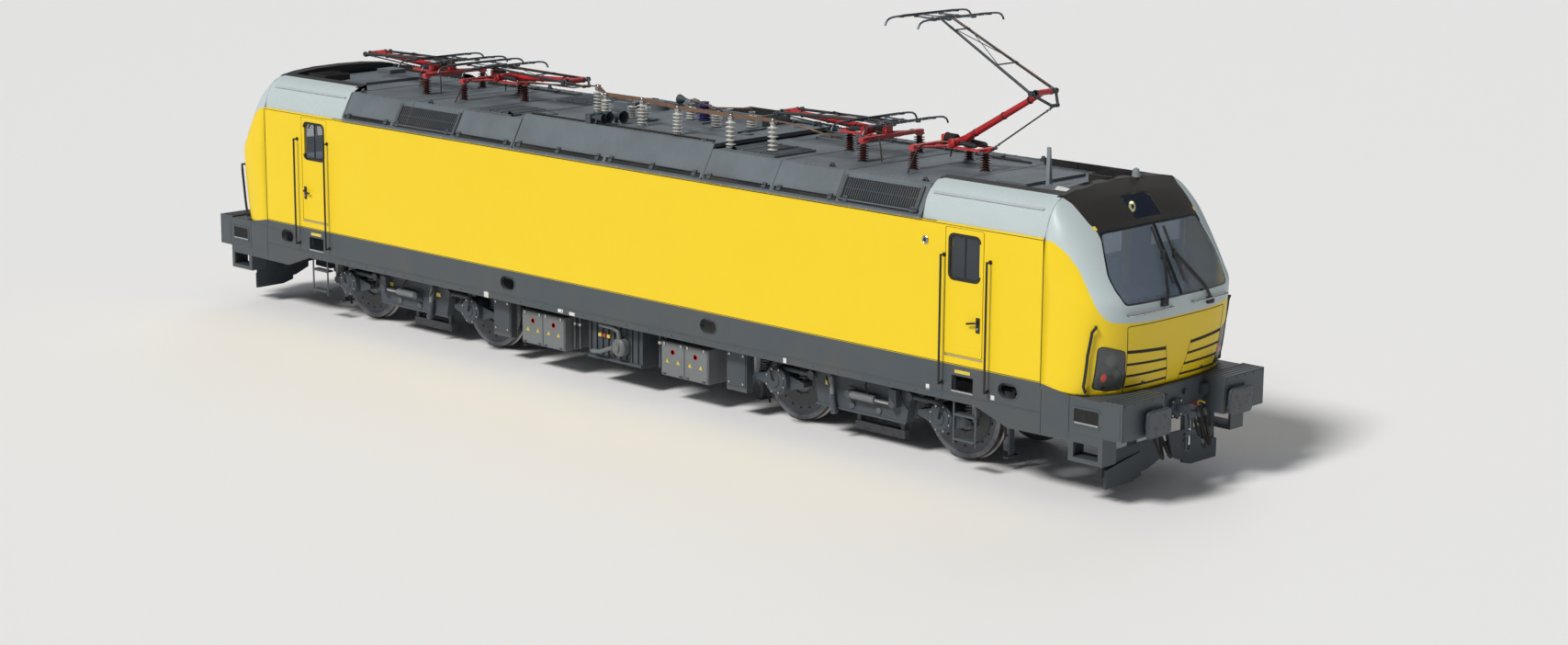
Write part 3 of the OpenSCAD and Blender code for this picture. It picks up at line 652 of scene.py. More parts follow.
def nose_bar(b, points, r, name, stand=0.03, places=ENDS):
    """A round rail held off the nose, with its two feet."""
    line = [nose_at(y, z, stand) for y, z in nose_line(rail_z(points))]
    ends = [nose_at(*p, -0.002) for p in rail_z([points[0], points[-1]])]
    b.tube([ends[0]] + line + [ends[1]], r, name, 8, places)


# ------------------------------------------------------------------ noses and windscreens

# outlines on the nose, each point a side position and a height above the rail
# where the body colour meets the shoulder colour
YELLOW_EDGE = [(HALF_W + 0.05, 3.292), (1.49, 3.27), (1.48, 3.22), (1.45, 3.12), (1.42, 2.96), (1.41, 2.77),
    (1.4, 2.58), (1.38, 2.49), (1.34, 2.41), (1.27, 2.33), (1.17, 2.3), (1.0, 2.285), (0.6, 2.262),
    (0.0, 2.25)]
# where the black cap meets the shoulder colour
CAP_EDGE = [(1.16, 3.9), (1.16, 3.77), (1.11, 3.7), (1.1, 3.6), (1.08, 3.48), (1.04, 3.39)]
# half of the windscreen, from the top middle to the foot
PANE_OUTLINE = [(0.0, 3.395), (0.55, 3.39), (0.9, 3.38), (0.985, 3.368), (1.022, 3.34), (1.035, 3.29),
    (1.1, 3.08), (1.15, 2.9), (1.152, 2.8), (1.13, 2.68), (1.085, 2.555), (1.06, 2.52), (1.01, 2.506),
    (0.55, 2.504), (0.0, 2.504)]
# headlight cluster
LAMP_OUTLINE = [(1.33, 2.005), (1.29, 2.008), (1.05, 1.94), (1.007, 1.915), (0.995, 1.87), (0.945, 1.45),
    (0.955, 1.415), (1.15, 1.408), (1.31, 1.438), (1.338, 1.465), (1.344, 1.52), (1.345, 1.975)]
TOP_LAMP = [(-0.28, 3.7), (-0.265, 3.712), (0.265, 3.712), (0.28, 3.7), (0.268, 3.462), (0.252, 3.449),
    (-0.252, 3.449), (-0.268, 3.462)]


def rail_z(line):
    return [(y, z + LOW) for y, z in line]


def signed_distance(points, polygon):
    """Distance from (y, z) points to a closed outline, negative inside."""
    a = np.array(polygon)
    b = np.roll(a, -1, axis=0)
    d = b - a
    p = points[:, None, :] - a[None]
    t = np.clip((p * d).sum(-1) / (d * d).sum(-1), 0, 1)
    gap = np.linalg.norm(p - t[..., None] * d, axis=-1).min(1)
    y, z = points[:, 0][:, None], points[:, 1][:, None]
    cross = ((a[:, 1] > z) != (b[:, 1] > z)) & (y < (b[:, 0] - a[:, 0]) * (z - a[:, 1]) / (b[:, 1] - a[:,
        1] + 1e-12) + a[:, 0])
    inside = cross.sum(1) % 2 == 1
    return np.where(inside, -gap, gap)


def full_pane():
    """The whole windscreen's outline."""
    half = rail_z(PANE_OUTLINE)
    return half + [(-y, z) for y, z in reversed(half[1:-1])]


def zone_material():
    """Nose paint: body colour low, shoulder colour at the brow, black cap above the windscreen."""
    m = mat("body").copy()
    m.name = "nose_paint"
    t = m.node_tree
    group = next(n for n in t.nodes if n.type == "GROUP")
    c = colours()
    sheet = None
    for attribute, colour, low in (("cap_side", c.cap, c.shoulder), ("yellow_side", c.body, None)):
        a = t.nodes.new("ShaderNodeAttribute")
        a.attribute_name = attribute
        edge = ramp(t, a.outputs["Fac"], 0.0015, -0.0015)
        sheet = mixed(t, edge, tuple(low) if low is not None else sheet, tuple(colour))
    wire(t, sheet, group.inputs["Paint"])
    return m


def mirrored(line):
    """A half outline made whole: to the middle and back on the other side."""
    return line + [(-y, z) for y, z in reversed(line)]


def zone_values(co):
    """Signed distances of nose points to the paint's two edges."""
    points = np.hstack((np.abs(co[:, [1]]), co[:, [2]]))
    yellow = mirrored([(2.2, 0.5), (2.2, 3.292 + LOW)] + rail_z(YELLOW_EDGE[:-1]))
    cap = mirrored([(1.18, 5.0)] + rail_z(CAP_EDGE) + [(1.04, 3.3)])
    return signed_distance(points, yellow), signed_distance(points, cap)


def nose_sheet(name):
    """The nose's painted skin with the windscreen cut out along its own outline."""
    us = np.concatenate([np.linspace(0, 3.9, 40), np.linspace(4.0, 9.0, 76),
        np.linspace(9.1, LAST_ROW, 40)])
    half = np.concatenate([np.linspace(0, 0.6, 19), np.linspace(0.62, 0.84, 24),
        [1 - 0.16 * cos(pi / 2 * k / 26) ** 2.2 for k in range(1, 27)]])
    half[-1] = 1.0
    vs = np.concatenate([-half[:0:-1], half])
    bm = bmesh.new()
    grid = [[bm.verts.new(nose_point(u, v)) for v in vs] for u in us]
    for i in range(len(us) - 1):
        for j in range(len(vs) - 1):
            bm.faces.new((grid[i][j], grid[i][j + 1], grid[i + 1][j + 1], grid[i + 1][j]))
    # the sill follows the solebar's sloping edge, from the seam down to the end beam
    for row in grid[:3]:
        for v in row:
            slope = 1.445 + LOW - (v.co.x - NOSE_X) * 0.18
            v.co.z = max(v.co.z, min(slope, 1.445 + LOW))
    bmesh.ops.remove_doubles(bm, verts=bm.verts, dist=0.0002)
    for outline in [full_pane(), rail_z(TOP_LAMP)] + [[(s * y, z) for y, z in rail_z(LAMP_OUTLINE)]
            for s in (1, -1)]:
        cut_outline(bm, outline)
    mesh = bpy.data.meshes.new(name)
    bm.to_mesh(mesh)
    bm.free()
    co = np.array([v.co for v in mesh.vertices])
    for key, values in zip(("yellow_side", "cap_side"), zone_values(co)):
        mesh.attributes.new(key, "FLOAT", "POINT").data.foreach_set("value", values)
    return mesh


def cut_outline(bm, outline):
    """Removes what lies inside a (y, z) outline, snapping the edge points onto it."""
    bm.verts.ensure_lookup_table()
    co = np.array([v.co for v in bm.verts])
    d = signed_distance(co[:, 1:], outline)
    poly = [Vector((y, z)) for y, z in outline]
    inside = {v for v, k in zip(bm.verts, d) if k < 0}
    rim = set()
    for f in bm.faces:
        hits = [v for v in f.verts if v in inside]
        if hits and len(hits) < len(f.verts):
            rim.update(hits)
    for v in rim:
        p = Vector((v.co.y, v.co.z))
        best = None
        for a, b in zip(poly, poly[1:] + poly[:1]):
            e = b - a
            t = max(0.0, min(1.0, (p - a).dot(e) / e.dot(e)))
            q = a + e * t
            if best is None or (q - p).length < (best - p).length:
                best = q
        v.co = nose_at(best.x, best.y)
    doomed = [f for f in bm.faces if all(v in inside for v in f.verts)]
    bmesh.ops.delete(bm, geom=doomed, context="FACES")


def nose_sheet_piece(name, mesh, place, material, thick, replaced=()):
    mesh = mesh.copy()
    mesh.transform(place)
    mesh.materials.clear()
    mesh.materials.append(material)
    return finish_piece(name, mesh, "carbody", 0, 50, replaced, solid=thick)


def glass_sheet(name, outline, depth, margin=0.02):
    """A pane behind an opening of the nose, with its distance from the opening's edge."""
    ys = [y for y, z in outline]
    zs = [z for y, z in outline]
    bm = bmesh.new()
    ny, nz = 70, 46
    y_line = np.linspace(min(ys) - margin, max(ys) + margin, ny)
    z_line = np.linspace(min(zs) - margin, max(zs) + margin, nz)
    grid = [[bm.verts.new(nose_at(y, z, -depth)) for y in y_line] for z in z_line]
    for i in range(nz - 1):
        for j in range(ny - 1):
            bm.faces.new((grid[i][j], grid[i][j + 1], grid[i + 1][j + 1], grid[i + 1][j]))
    mesh = bpy.data.meshes.new(name)
    bm.to_mesh(mesh)
    bm.free()
    flat = np.array([(y, z) for z in z_line for y in y_line])
    mesh.attributes.new("edge", "FLOAT", "POINT").data.foreach_set("value", -signed_distance(flat, outline))
    mesh.attributes.new("middle", "FLOAT", "POINT").data.foreach_set("value", np.abs(flat[:, 0]))
    return mesh


def bordered_glass(name, colour, alpha, border, pillar=0.0):
    """Glass with a printed black border, and a pillar down its middle."""
    m = glass(name, colour, alpha)
    t = m.node_tree
    p = t.nodes["Principled BSDF"]
    edge = t.nodes.new("ShaderNodeAttribute")
    edge.attribute_name = "edge"
    clear = ramp(t, edge.outputs["Fac"], border, border + 0.004)
    if pillar:
        middle = t.nodes.new("ShaderNodeAttribute")
        middle.attribute_name = "middle"
        clear = times(t, clear, ramp(t, middle.outputs["Fac"], pillar, pillar + 0.004))
    wire(t, mixed(t, clear, (0.006, 0.007, 0.009), colour), p.inputs["Base Color"])
    wire(t, plus(t, times(t, clear, alpha - 1), 1.0), p.inputs["Alpha"])
    return m


def noses_lamps():
    """Dark tubs behind the covers, with round lamps in them."""
    b = Build()
    for s in (1, -1):
        outline = [(s * y, z) for y, z in rail_z(LAMP_OUTLINE)]
        if s < 0:
            outline.reverse()
        rim = [nose_at(y, z, -0.002) for y, z in outline]
        back = [p + Vector((-0.15, -s * 0.05, 0)) for p in rim]
        middle = sum(back, Vector()) / len(back)
        rows = list(zip(rim, back))
        b.band(rows + rows[:1], "black", ENDS)
        b.add(back + [middle], [(k, (k + 1) % len(back), len(back)) for k in range(len(back))], "black",
            ENDS)
        for y, z, r, name in ((1.17, 1.8, 0.088, "off_lamp"), (1.06, 1.6, 0.062, "off_lamp"),
                (1.235, 1.58, 0.052, "tail_lamp")):
            p = nose_at(s * y, z + LOW, -0.05)
            way = Vector((1, s * 0.22, 0)).normalized()
            b.lathe([(r * 1.15, -0.05), (r * 1.22, 0.0), (r * 1.18, 0.012), (r * 1.05, 0.012), (r, 0.004)],
                p, way, "black", 28, ENDS)
            b.lathe([(r, -0.02), (r, 0.004), (r * 0.8, 0.014), (r * 0.45, 0.02), (TIP, 0.023)], p, way,
                name, 28, ENDS)
    box = [(-0.3, 3.74), (0.3, 3.74), (0.3, 3.42), (-0.3, 3.42)]
    rim = [nose_at(y, z + LOW, -0.012) for y, z in box]
    back = [q + Vector((-0.2, 0, -0.06)) for q in rim]
    b.band([[a, c] for a, c in zip(rim + rim[:1], back + back[:1])], "black", ENDS)
    b.add(back, [(0, 1, 2, 3)], "black", ENDS)
    q = nose_at(-0.15, 3.6 + LOW, -0.035)
    way = Vector((1, 0, 0.25)).normalized()
    b.lathe([(0.082, -0.03), (0.086, 0.0), (0.078, 0.008), (0.07, 0.002)], q, way, "black", 32, ENDS)
    b.lathe([(0.07, 0.002), (0.045, 0.01), (0.03, 0.012)], q, way, "white_lamp", 32, ENDS)
    b.lathe([(0.03, 0.012), (0.024, 0.016), (TIP, 0.017)], q, way, "black", 24, ENDS)
    b.make("nose_lamps", "carbody", "lamp_black", sharp=40)


def noses_lines():
    """Hatch outline, air slots, seams, rails and handles."""
    b = Build()
    hatch = [(-0.94, 1.372), (-1.01, 2.225), (-0.985, 2.24), (0.985, 2.24), (1.01, 2.225), (0.94, 1.372)]
    nose_strip(b, hatch, sizes().seam, "slot")
    for s in (1, -1):
        # air slots drawn as near-black strips on the skin: painted shade where the nose has openings
        for k, (z_out, z_in, inner) in enumerate(((1.91, 1.865, 0.26), (1.745, 1.72, 0.22),
                (1.59, 1.585, 0.18), (1.445, 1.45, 0.14))):
            outer = 0.985 - 0.018 * k
            nose_strip(b, [(s * outer, z_out), (s * inner, z_in)], 0.042 if k == 0 else 0.032, "slot")
        nose_strip(b, [(s * 0.27, 1.9), (s * 0.13, 1.4)], 0.008, "slot")
        nose_bar(b, [(s * 1.03, 2.385), (s * 0.64, 2.395), (s * 0.22, 2.398)], 0.013, "steel", 0.045)
        nose_bar(b, [(s * 1.376, 2.262), (s * 1.398, 2.2), (s * 1.408, 1.9), (s * 1.406, 1.5),
            (s * 1.385, 1.425)], 0.02, "black", 0.05)
        for y, z in ((1.235, 1.475), (0.62, 1.47)):
            p = nose_at(s * y, z + LOW)
            b.lathe([(0.03, -0.01), (0.03, 0.006), (0.022, 0.008), (0.018, 0.002)], p, AHEAD, "black", 16,
                ENDS)
        nose_strip(b, [(s * 1.075, 3.415), (s * 1.015, 3.418)], 0.045, "label", 0.0015)
    seam = [(NOSE_X - 0.003, y, z) for y, z in SEAM_SECTION]
    b.tube(seam, 0.006, "rubber", 6, ENDS)
    b.make("nose_trim", "carbody", "body_yellow", sharp=40)


def noses_wipers():
    b = Build()
    for top, foot, pivot in (((-0.113, 3.338), (-0.107, 2.661), (-0.387, 2.467)),
            ((0.13, 3.321), (0.121, 2.663), (0.6, 2.36))):
        blade = [nose_at(y, z, 0.022) for y, z in nose_line(rail_z([top, foot]))]
        b.tube(blade, 0.015, "rubber", 6, ENDS)
        middle = ((top[0] + foot[0]) / 2, (top[1] + foot[1]) / 2)
        for off in (0.0, 0.03):
            arm = [nose_at(y + off, z, 0.04) for y, z in nose_line(rail_z([middle, pivot]))]
            b.tube(arm, 0.011, "black", 6, ENDS)
        clip = nose_at(middle[0], middle[1] + LOW, 0.03)
        b.box(clip - Vector((0.02, 0.02, 0.06)), clip + Vector((0.02, 0.02, 0.06)), "black", ENDS)
        p = nose_at(pivot[0], pivot[1] + LOW)
        b.lathe([(0.032, -0.01), (0.032, 0.05), (0.024, 0.062), (TIP, 0.064)], p, (1, 0, 0.35), "black", 20,
            ENDS)
        b.box(p - Vector((0.02, 0.055, 0.035)), p + Vector((0.05, 0.055, 0.045)), "black", ENDS)
    b.make("windscreen_wipers", "carbody", "lamp_black", sharp=40)


class LOCO_OT_noses(bpy.types.Operator):
    """Noses with their windscreens, lamps, hatch lines, rails and wipers"""

    bl_idname = "loco.noses"
    bl_label = "Noses"

    def execute(self, context):
        skin = nose_sheet("nose_skin")
        painted = zone_material()
        pane = glass_sheet("windscreen_pane", full_pane(), 0.006)
        screen = bordered_glass("windscreen_bordered", (0.33, 0.42, 0.54), 0.22, 0.022, 0.026)
        brow = glass_sheet("brow_pane", rail_z(TOP_LAMP), 0.004)
        brow_glass = bordered_glass("brow_bordered", (0.012, 0.022, 0.05), 0.45, 0.01)
        covers = glass_sheet("lamp_pane", rail_z(LAMP_OUTLINE), 0.004)
        cover_glass = bordered_glass("lamp_bordered", (0.2, 0.21, 0.21), 0.34, 0.01)
        for end, place in zip(("front", "rear"), ENDS):
            nose_sheet_piece(f"nose_{end}", skin, place, painted, 0.03, ("cab_noses",))
            nose_sheet_piece(f"windscreen_{end}", pane, place, screen, 0.01,
                ("windscreens",))
            nose_sheet_piece(f"brow_window_{end}", brow, place, brow_glass, 0.004,
                ("headlights",))
            for side, mirror in (("left", ONE[0]), ("right", MIRROR_Y)):
                sheet = covers.copy()
                if side == "right":
                    sheet.transform(mirror)
                    sheet.flip_normals()
                nose_sheet_piece(f"lamp_cover_{end}_{side}", sheet, place, cover_glass, 0.004)
        noses_lamps()
        noses_lines()
        noses_wipers()
        return {"FINISHED"}


# ------------------------------------------------------------------ cab roofs, walls and hoods

SEAM_SECTION = [(-HALF_W, 1.4 + LOW), (-HALF_W, 3.262 + LOW), (-1.478, 3.32 + LOW), (-1.43, 3.455 + LOW),
    (-1.375, 3.585 + LOW), (-1.282, 3.7 + LOW), (-1.13, 3.785 + LOW), (-0.9, 3.827 + LOW),
    (-0.5, 3.862 + LOW), (0, 3.872 + LOW)]
SEAM_SECTION = SEAM_SECTION + [(-y, z) for y, z in reversed(SEAM_SECTION[:-1])]


def cab_roofs_fittings():
    b = Build()
    for x in (6.6, 7.2, 7.8):
        for s in (1, -1):
            b.box((x - 0.006, s * 1.0 - 0.02, ROOF), (x + 0.006, s * 1.0 + 0.02, ROOF + 0.085), "frame",
                ENDS)
    for x in np.linspace(6.15, 7.8, 9):
        for s in (1, -1):
            b.lathe([(0.016, 0), (0.016, 0.01), (0.01, 0.013), (TIP, 0.013)], (x, s * 0.955, ROOF + 0.001),
                UP, "steel", 8, ENDS)
    b.box((6.55, -0.62, ROOF), (7.05, 0.62, ROOF + 0.045), "roof", ENDS)
    b.box((7.3, 0.35, ROOF), (7.75, 0.85, ROOF + 0.1), "cap", ENDS)
    b.box((7.36, -0.85, ROOF), (7.7, -0.52, ROOF + 0.07), "roof", ENDS)
    # near-black bars on the box's top: painted shade standing for its vent openings
    for k in range(7):
        b.box((7.34 + 0.055 * k, 0.38, ROOF + 0.1), (7.36 + 0.055 * k, 0.82, ROOF + 0.112), "slot", ENDS)
    b.lathe([(0.055, 0), (0.052, 0.05), (0.04, 0.1), (0.012, 0.118), (TIP, 0.12)],
        (8.07, 0.35, 3.862 + LOW), UP, "antenna", 24)
    b.tube([(6.9, -0.35, ROOF + 0.03), (7.0, -0.3, ROOF + 0.03), (7.21, -0.34, ROOF + 0.03)], 0.012,
        "rubber", 6)
    b.box((7.13, -0.44, ROOF), (7.29, -0.26, ROOF + 0.012), "antenna")
    for x, y in ((7.15, -0.42), (7.27, -0.42), (7.15, -0.28), (7.27, -0.28)):
        b.lathe([(0.012, 0), (0.012, 0.01), (TIP, 0.011)], (x, y, ROOF + 0.012), UP, "steel", 8)
    z = 3.815 + LOW
    wedge = [(7.8, -0.98, z), (7.98, -0.98, z), (7.98, -0.88, z + 0.02), (7.8, -0.88, z + 0.02),
        (7.8, -0.95, z + 0.03), (7.8, -0.9, z + 0.045)]
    b.add(wedge, [(0, 1, 4), (1, 2, 5, 4), (2, 3, 5), (3, 0, 4, 5), (0, 3, 2, 1)], "plate")
    b.make("cab_roof_fittings", "carbody", "roof_grey", 0.003, 35)


class LOCO_OT_cab_roofs(bpy.types.Operator):
    """Cab roofs: shoulders, black cap, equipment well and fittings"""

    bl_idname = "loco.cab_roofs"
    bl_label = "Cab roofs"

    def execute(self, context):
        b = Build()
        crown = CROWN - SKIM
        shoulder = [(-1.478, 3.292), (-1.476, 3.31), (-1.466, 3.36), (-1.44, 3.455), (-1.415, 3.525),
            (-1.383, 3.585), (-1.34, 3.648), (-1.288, 3.7), (-1.215, 3.748), (-1.13, 3.785)]
        cap = [(-1.13, 3.785), (-1.02, 3.807), (-0.9, 3.827), (-0.7, 3.846), (-0.5, 3.86), (-0.25, 3.867)]
        xs = [SHELL_X] + list(np.linspace(6.2, NOSE_X - 0.006, 12))
        for s in (1, -1):
            side = [(s * -y, z + LOW) for y, z in shoulder]
            line = side if s < 0 else side[::-1]
            b.band([[(x, y, z) for y, z in line] for x in xs], "shoulder", ENDS)
        whole = [(-y, z + LOW) for y, z in cap] + [(0, crown)] + [(y, z + LOW) for y, z in reversed(cap)]
        front = [WELL_END] + [x for x in xs if x > WELL_END + 0.015]
        b.band([[(x, y, z) for y, z in whole] for x in front], "cap", ENDS)
        for s in (1, -1):
            for line in ([(s * 1.13, 3.785), (s * 1.0, 3.81)], [(s * 1.0, 3.81), (s * 1.0, 3.713)]):
                rows = [[(x, y, z) for y, z in rail_z(line)[::s]] for x in (SHELL_X, WELL_END)]
                b.band(rows, "cap", ENDS)
        arch = rail_z([(1.0, 3.713), (1.0, 3.81), (0.5, 3.86)])
        arch += [(0, crown)] + [(-y, z) for y, z in reversed(arch)]
        b.add([(WELL_END, y, z) for y, z in arch], [range(7)], "cap", ENDS)
        b.box((SHELL_X, -1.0, ROOF - 0.03), (WELL_END, 1.0, ROOF + 0.001), "roof", ENDS)
        b.make("cab_roofs", "carbody", "panel_silver", 0, 40, ("cab_shells",), weld=True)
        cab_roofs_fittings()
        return {"FINISHED"}


LOUVRES = [(4.58, 5.93), (-4.73, -3.35)]     # vents in the near side's sloping roof
HOOD_EDGE = [(1.506, 3.335 + LOW), (1.3, 3.712 + LOW)]
MIDDLE_EDGE = [(1.506, 3.335 + LOW), (1.26, 3.785 + LOW)]


def on_slope(x, t, edge, lift=0.0):
    """A point on the near side's sloping roof: t runs from its foot to its ridge."""
    (y0, z0), (y1, z1) = edge
    way = Vector((0, -(z1 - z0), y1 - y0))
    normal = Vector((0, -(z1 - z0), -(y1 - y0))).normalized()
    return Vector((x, -(y0 + (y1 - y0) * t), z0 + (z1 - z0) * t)) + normal * lift


def slope_box(b, x0, x1, t0, t1, edge, low, high, name, places=ONE):
    """A plate on the sloping roof."""
    v = [on_slope(x, t, edge, h) for x in (x0, x1) for t in (t0, t1) for h in (low, high)]
    b.add(v, [f[::-1] for f in BOX_FACES], name, places)


def walls_seams():
    b = Build()
    y = -HALF_W
    b.boxes("slot", SIDES, (0.012 - NOSE_X, y - 0.0012, EAVE - 0.028, NOSE_X - 0.012, y + 0.004,
        EAVE - 0.02), (0.012 - NOSE_X, y - 0.0012, 1.452 + LOW, NOSE_X - 0.012, y + 0.004, 1.46 + LOW))
    b.box((-6.05, y - 0.026, EAVE - 0.004), (6.05, y, EAVE + 0.02), "roof")
    b.box((-6.05, y - 0.022, EAVE - 0.004), (6.05, y + 0.004, EAVE + 0.02), "roof", [MIRROR_Y])
    for k in range(41):
        b.bolt(0.01, 0.005, (-6.0 + 0.3 * k, y - 0.022, EAVE + 0.008), NEAR, "steel", 6, SIDES)
    b.box((6.04, y, EAVE - 0.006), (6.3, y + 0.02, EAVE), "slot", CORNERS)
    lock = (6.12, -HALF_W, 3.02 + LOW)
    b.lathe([(0.055, 0), (0.055, 0.01), (0.047, 0.016), (0.04, 0.01), (0.036, 0.018), (TIP, 0.022)], lock,
        NEAR, "steel", 24, ENDS)
    b.lathe([(0.03, 0.01), (0.026, 0.022), (TIP, 0.026)], lock, NEAR, "black", 20, ENDS)
    b.make("wall_seams", "carbody", "body_yellow", 0, 40)


def walls_vents():
    """Louvred vents in the sloping roof: frame, sunk back painted near black as the shade behind the slats,
    and slats.
    """
    b = Build()
    for x0, x1 in LOUVRES:
        # near-black plate under the slats: painted shade behind them
        slope_box(b, x0, x1, 0.1, 0.82, HOOD_EDGE, -0.01, 0.003, "slot", ENDS)
        for x in np.linspace(x0 + 0.03, x1 - 0.03, 34):
            slope_box(b, x - 0.007, x + 0.007, 0.12, 0.8, HOOD_EDGE, -0.004, 0.013, "frame", ENDS)
        for x in (x0, x1):
            slope_box(b, x - 0.03, x + 0.03, 0.04, 0.88, HOOD_EDGE, -0.004, 0.026, "frame", ENDS)
        for t in (0.09, 0.83):
            slope_box(b, x0 - 0.02, x1 + 0.02, t - 0.025, t + 0.025, HOOD_EDGE, -0.004, 0.02, "roof", ENDS)
        slope_box(b, x0, x1, 0.45, 0.47, HOOD_EDGE, -0.004, 0.016, "frame", ENDS)
    b.make("roof_vents", "carbody", "roof_grey", 0, 35)


def walls_roof():
    """Cross joints, bolt rows, flat grilles, lugs and walkways on the machine room's roof."""
    b = Build()
    for x, edge, top in ((2.0, MIDDLE_EDGE, MIDDLE_ROOF), (3.33, HOOD_EDGE, ROOF), (4.5, HOOD_EDGE, ROOF),
            (6.03, HOOD_EDGE, ROOF)):
        for place in CORNERS:
            slope_box(b, x - 0.012, x + 0.012, 0.0, 1.0, edge, -0.003, 0.008, "roof", [place])
        b.box((x - 0.012, -edge[1][0], top - 0.003), (x + 0.012, edge[1][0], top + 0.006), "roof",
            [ONE[0], MIRROR_X])
    for side in SIDES:
        for edge, top, span in ((HOOD_EDGE, ROOF, (2.02, 6.02)), (HOOD_EDGE, ROOF, (-6.02, -2.02)),
                (MIDDLE_EDGE, MIDDLE_ROOF, (-1.96, 1.96))):
            y = edge[1][0]
            b.box((span[0], -y - 0.004, top - 0.014), (span[1], -y + 0.045, top + 0.01), "roof", [side])
            for x in np.arange(span[0] + 0.1, span[1], 0.2):
                b.bolt(0.013, 0.008, (x, -y + 0.022, top + 0.01), UP, "steel", 6, [side])
            for x in np.arange(span[0] + 0.15, span[1], 0.3):
                p = on_slope(x, 0.045, edge, 0.0)
                way = on_slope(x, 0.045, edge, 1.0) - p
                b.bolt(0.012, 0.007, p, way, "steel", 6, [side])
    for x0, x1, edge in ((-5.98, -4.86, HOOD_EDGE), (-4.78, -3.4, HOOD_EDGE), (-3.32, -2.04, HOOD_EDGE),
            (-1.94, -0.04, MIDDLE_EDGE), (0.04, 1.94, MIDDLE_EDGE), (2.04, 3.3, HOOD_EDGE),
            (3.38, 4.52, HOOD_EDGE), (4.6, 5.98, HOOD_EDGE)):
        slope_box(b, x0, x1, 0.005, 0.125, edge, -0.004, 0.014, "black", SIDES)
        slope_box(b, x0, x1, 0.105, 0.125, edge, 0.01, 0.03, "black", SIDES)
        for x in np.linspace(x0 + 0.1, x1 - 0.1, max(2, round((x1 - x0) / 0.6))):
            slope_box(b, x - 0.035, x + 0.035, 0.005, 0.19, edge, -0.004, 0.026, "frame", SIDES)
    for x0, x1, y0, y1 in ((2.2, 3.15, -1.25, -0.42), (-3.1, -2.3, -1.25, -0.48)):
        b.box((x0, y0, ROOF), (x1, y1, ROOF + 0.03), "roof", ENDS)
        # near-black sheet under the slats: painted shade behind the grille
        b.box((x0 + 0.04, y0 + 0.04, ROOF + 0.03), (x1 - 0.04, y1 - 0.04, ROOF + 0.032), "slot", ENDS)
        for k in range(22):
            y = y0 + 0.05 + (y1 - y0 - 0.1) * k / 21
            b.box((x0 + 0.03, y - 0.006, ROOF + 0.028), (x1 - 0.03, y + 0.006, ROOF + 0.044), "frame", ENDS)
        for x in (x0 + (x1 - x0) / 3, x0 + 2 * (x1 - x0) / 3):
            b.box((x - 0.012, y0 + 0.02, ROOF + 0.03), (x + 0.012, y1 - 0.02, ROOF + 0.05), "roof", ENDS)
    for x, y in ((2.35, 1.22), (4.2, 1.22), (5.85, 1.22), (2.35, -1.22 + 2.44)):
        for place in CORNERS:
            b.box((x - 0.05, y - 0.012, ROOF), (x + 0.05, y + 0.012, ROOF + 0.035), "frame", [place])
            b.roller(0.03, 0.012, (x, y, ROOF + 0.045), ACROSS, "frame", 16, [place])
    for x in (-1.7, 1.7):
        for s in (1, -1):
            b.box((x - 0.06, s * 1.16 - 0.012, MIDDLE_ROOF), (x + 0.06, s * 1.16 + 0.012,
                MIDDLE_ROOF + 0.04), "frame")
    b.make("roof_details", "carbody", "roof_grey", 0.002, 35)


class LOCO_OT_walls(bpy.types.Operator):
    """Side walls with their seams, and the machine room's roof with its vents, joints and bolts"""

    bl_idname = "loco.walls"
    bl_label = "Walls and roof"

    def execute(self, context):
        refined("side_walls", "body", 0.003)
        refined("roof_hoods", "roof", 0.004)
        refined("cab_bulkheads", "lining", 0.004)
        walls_seams()
        walls_vents()
        walls_roof()
        return {"FINISHED"}


# ------------------------------------------------------------------ underframe and ends

SKIRT = [(8.54, 0.78), (7.55, 0.768), (7.0, 0.96)]


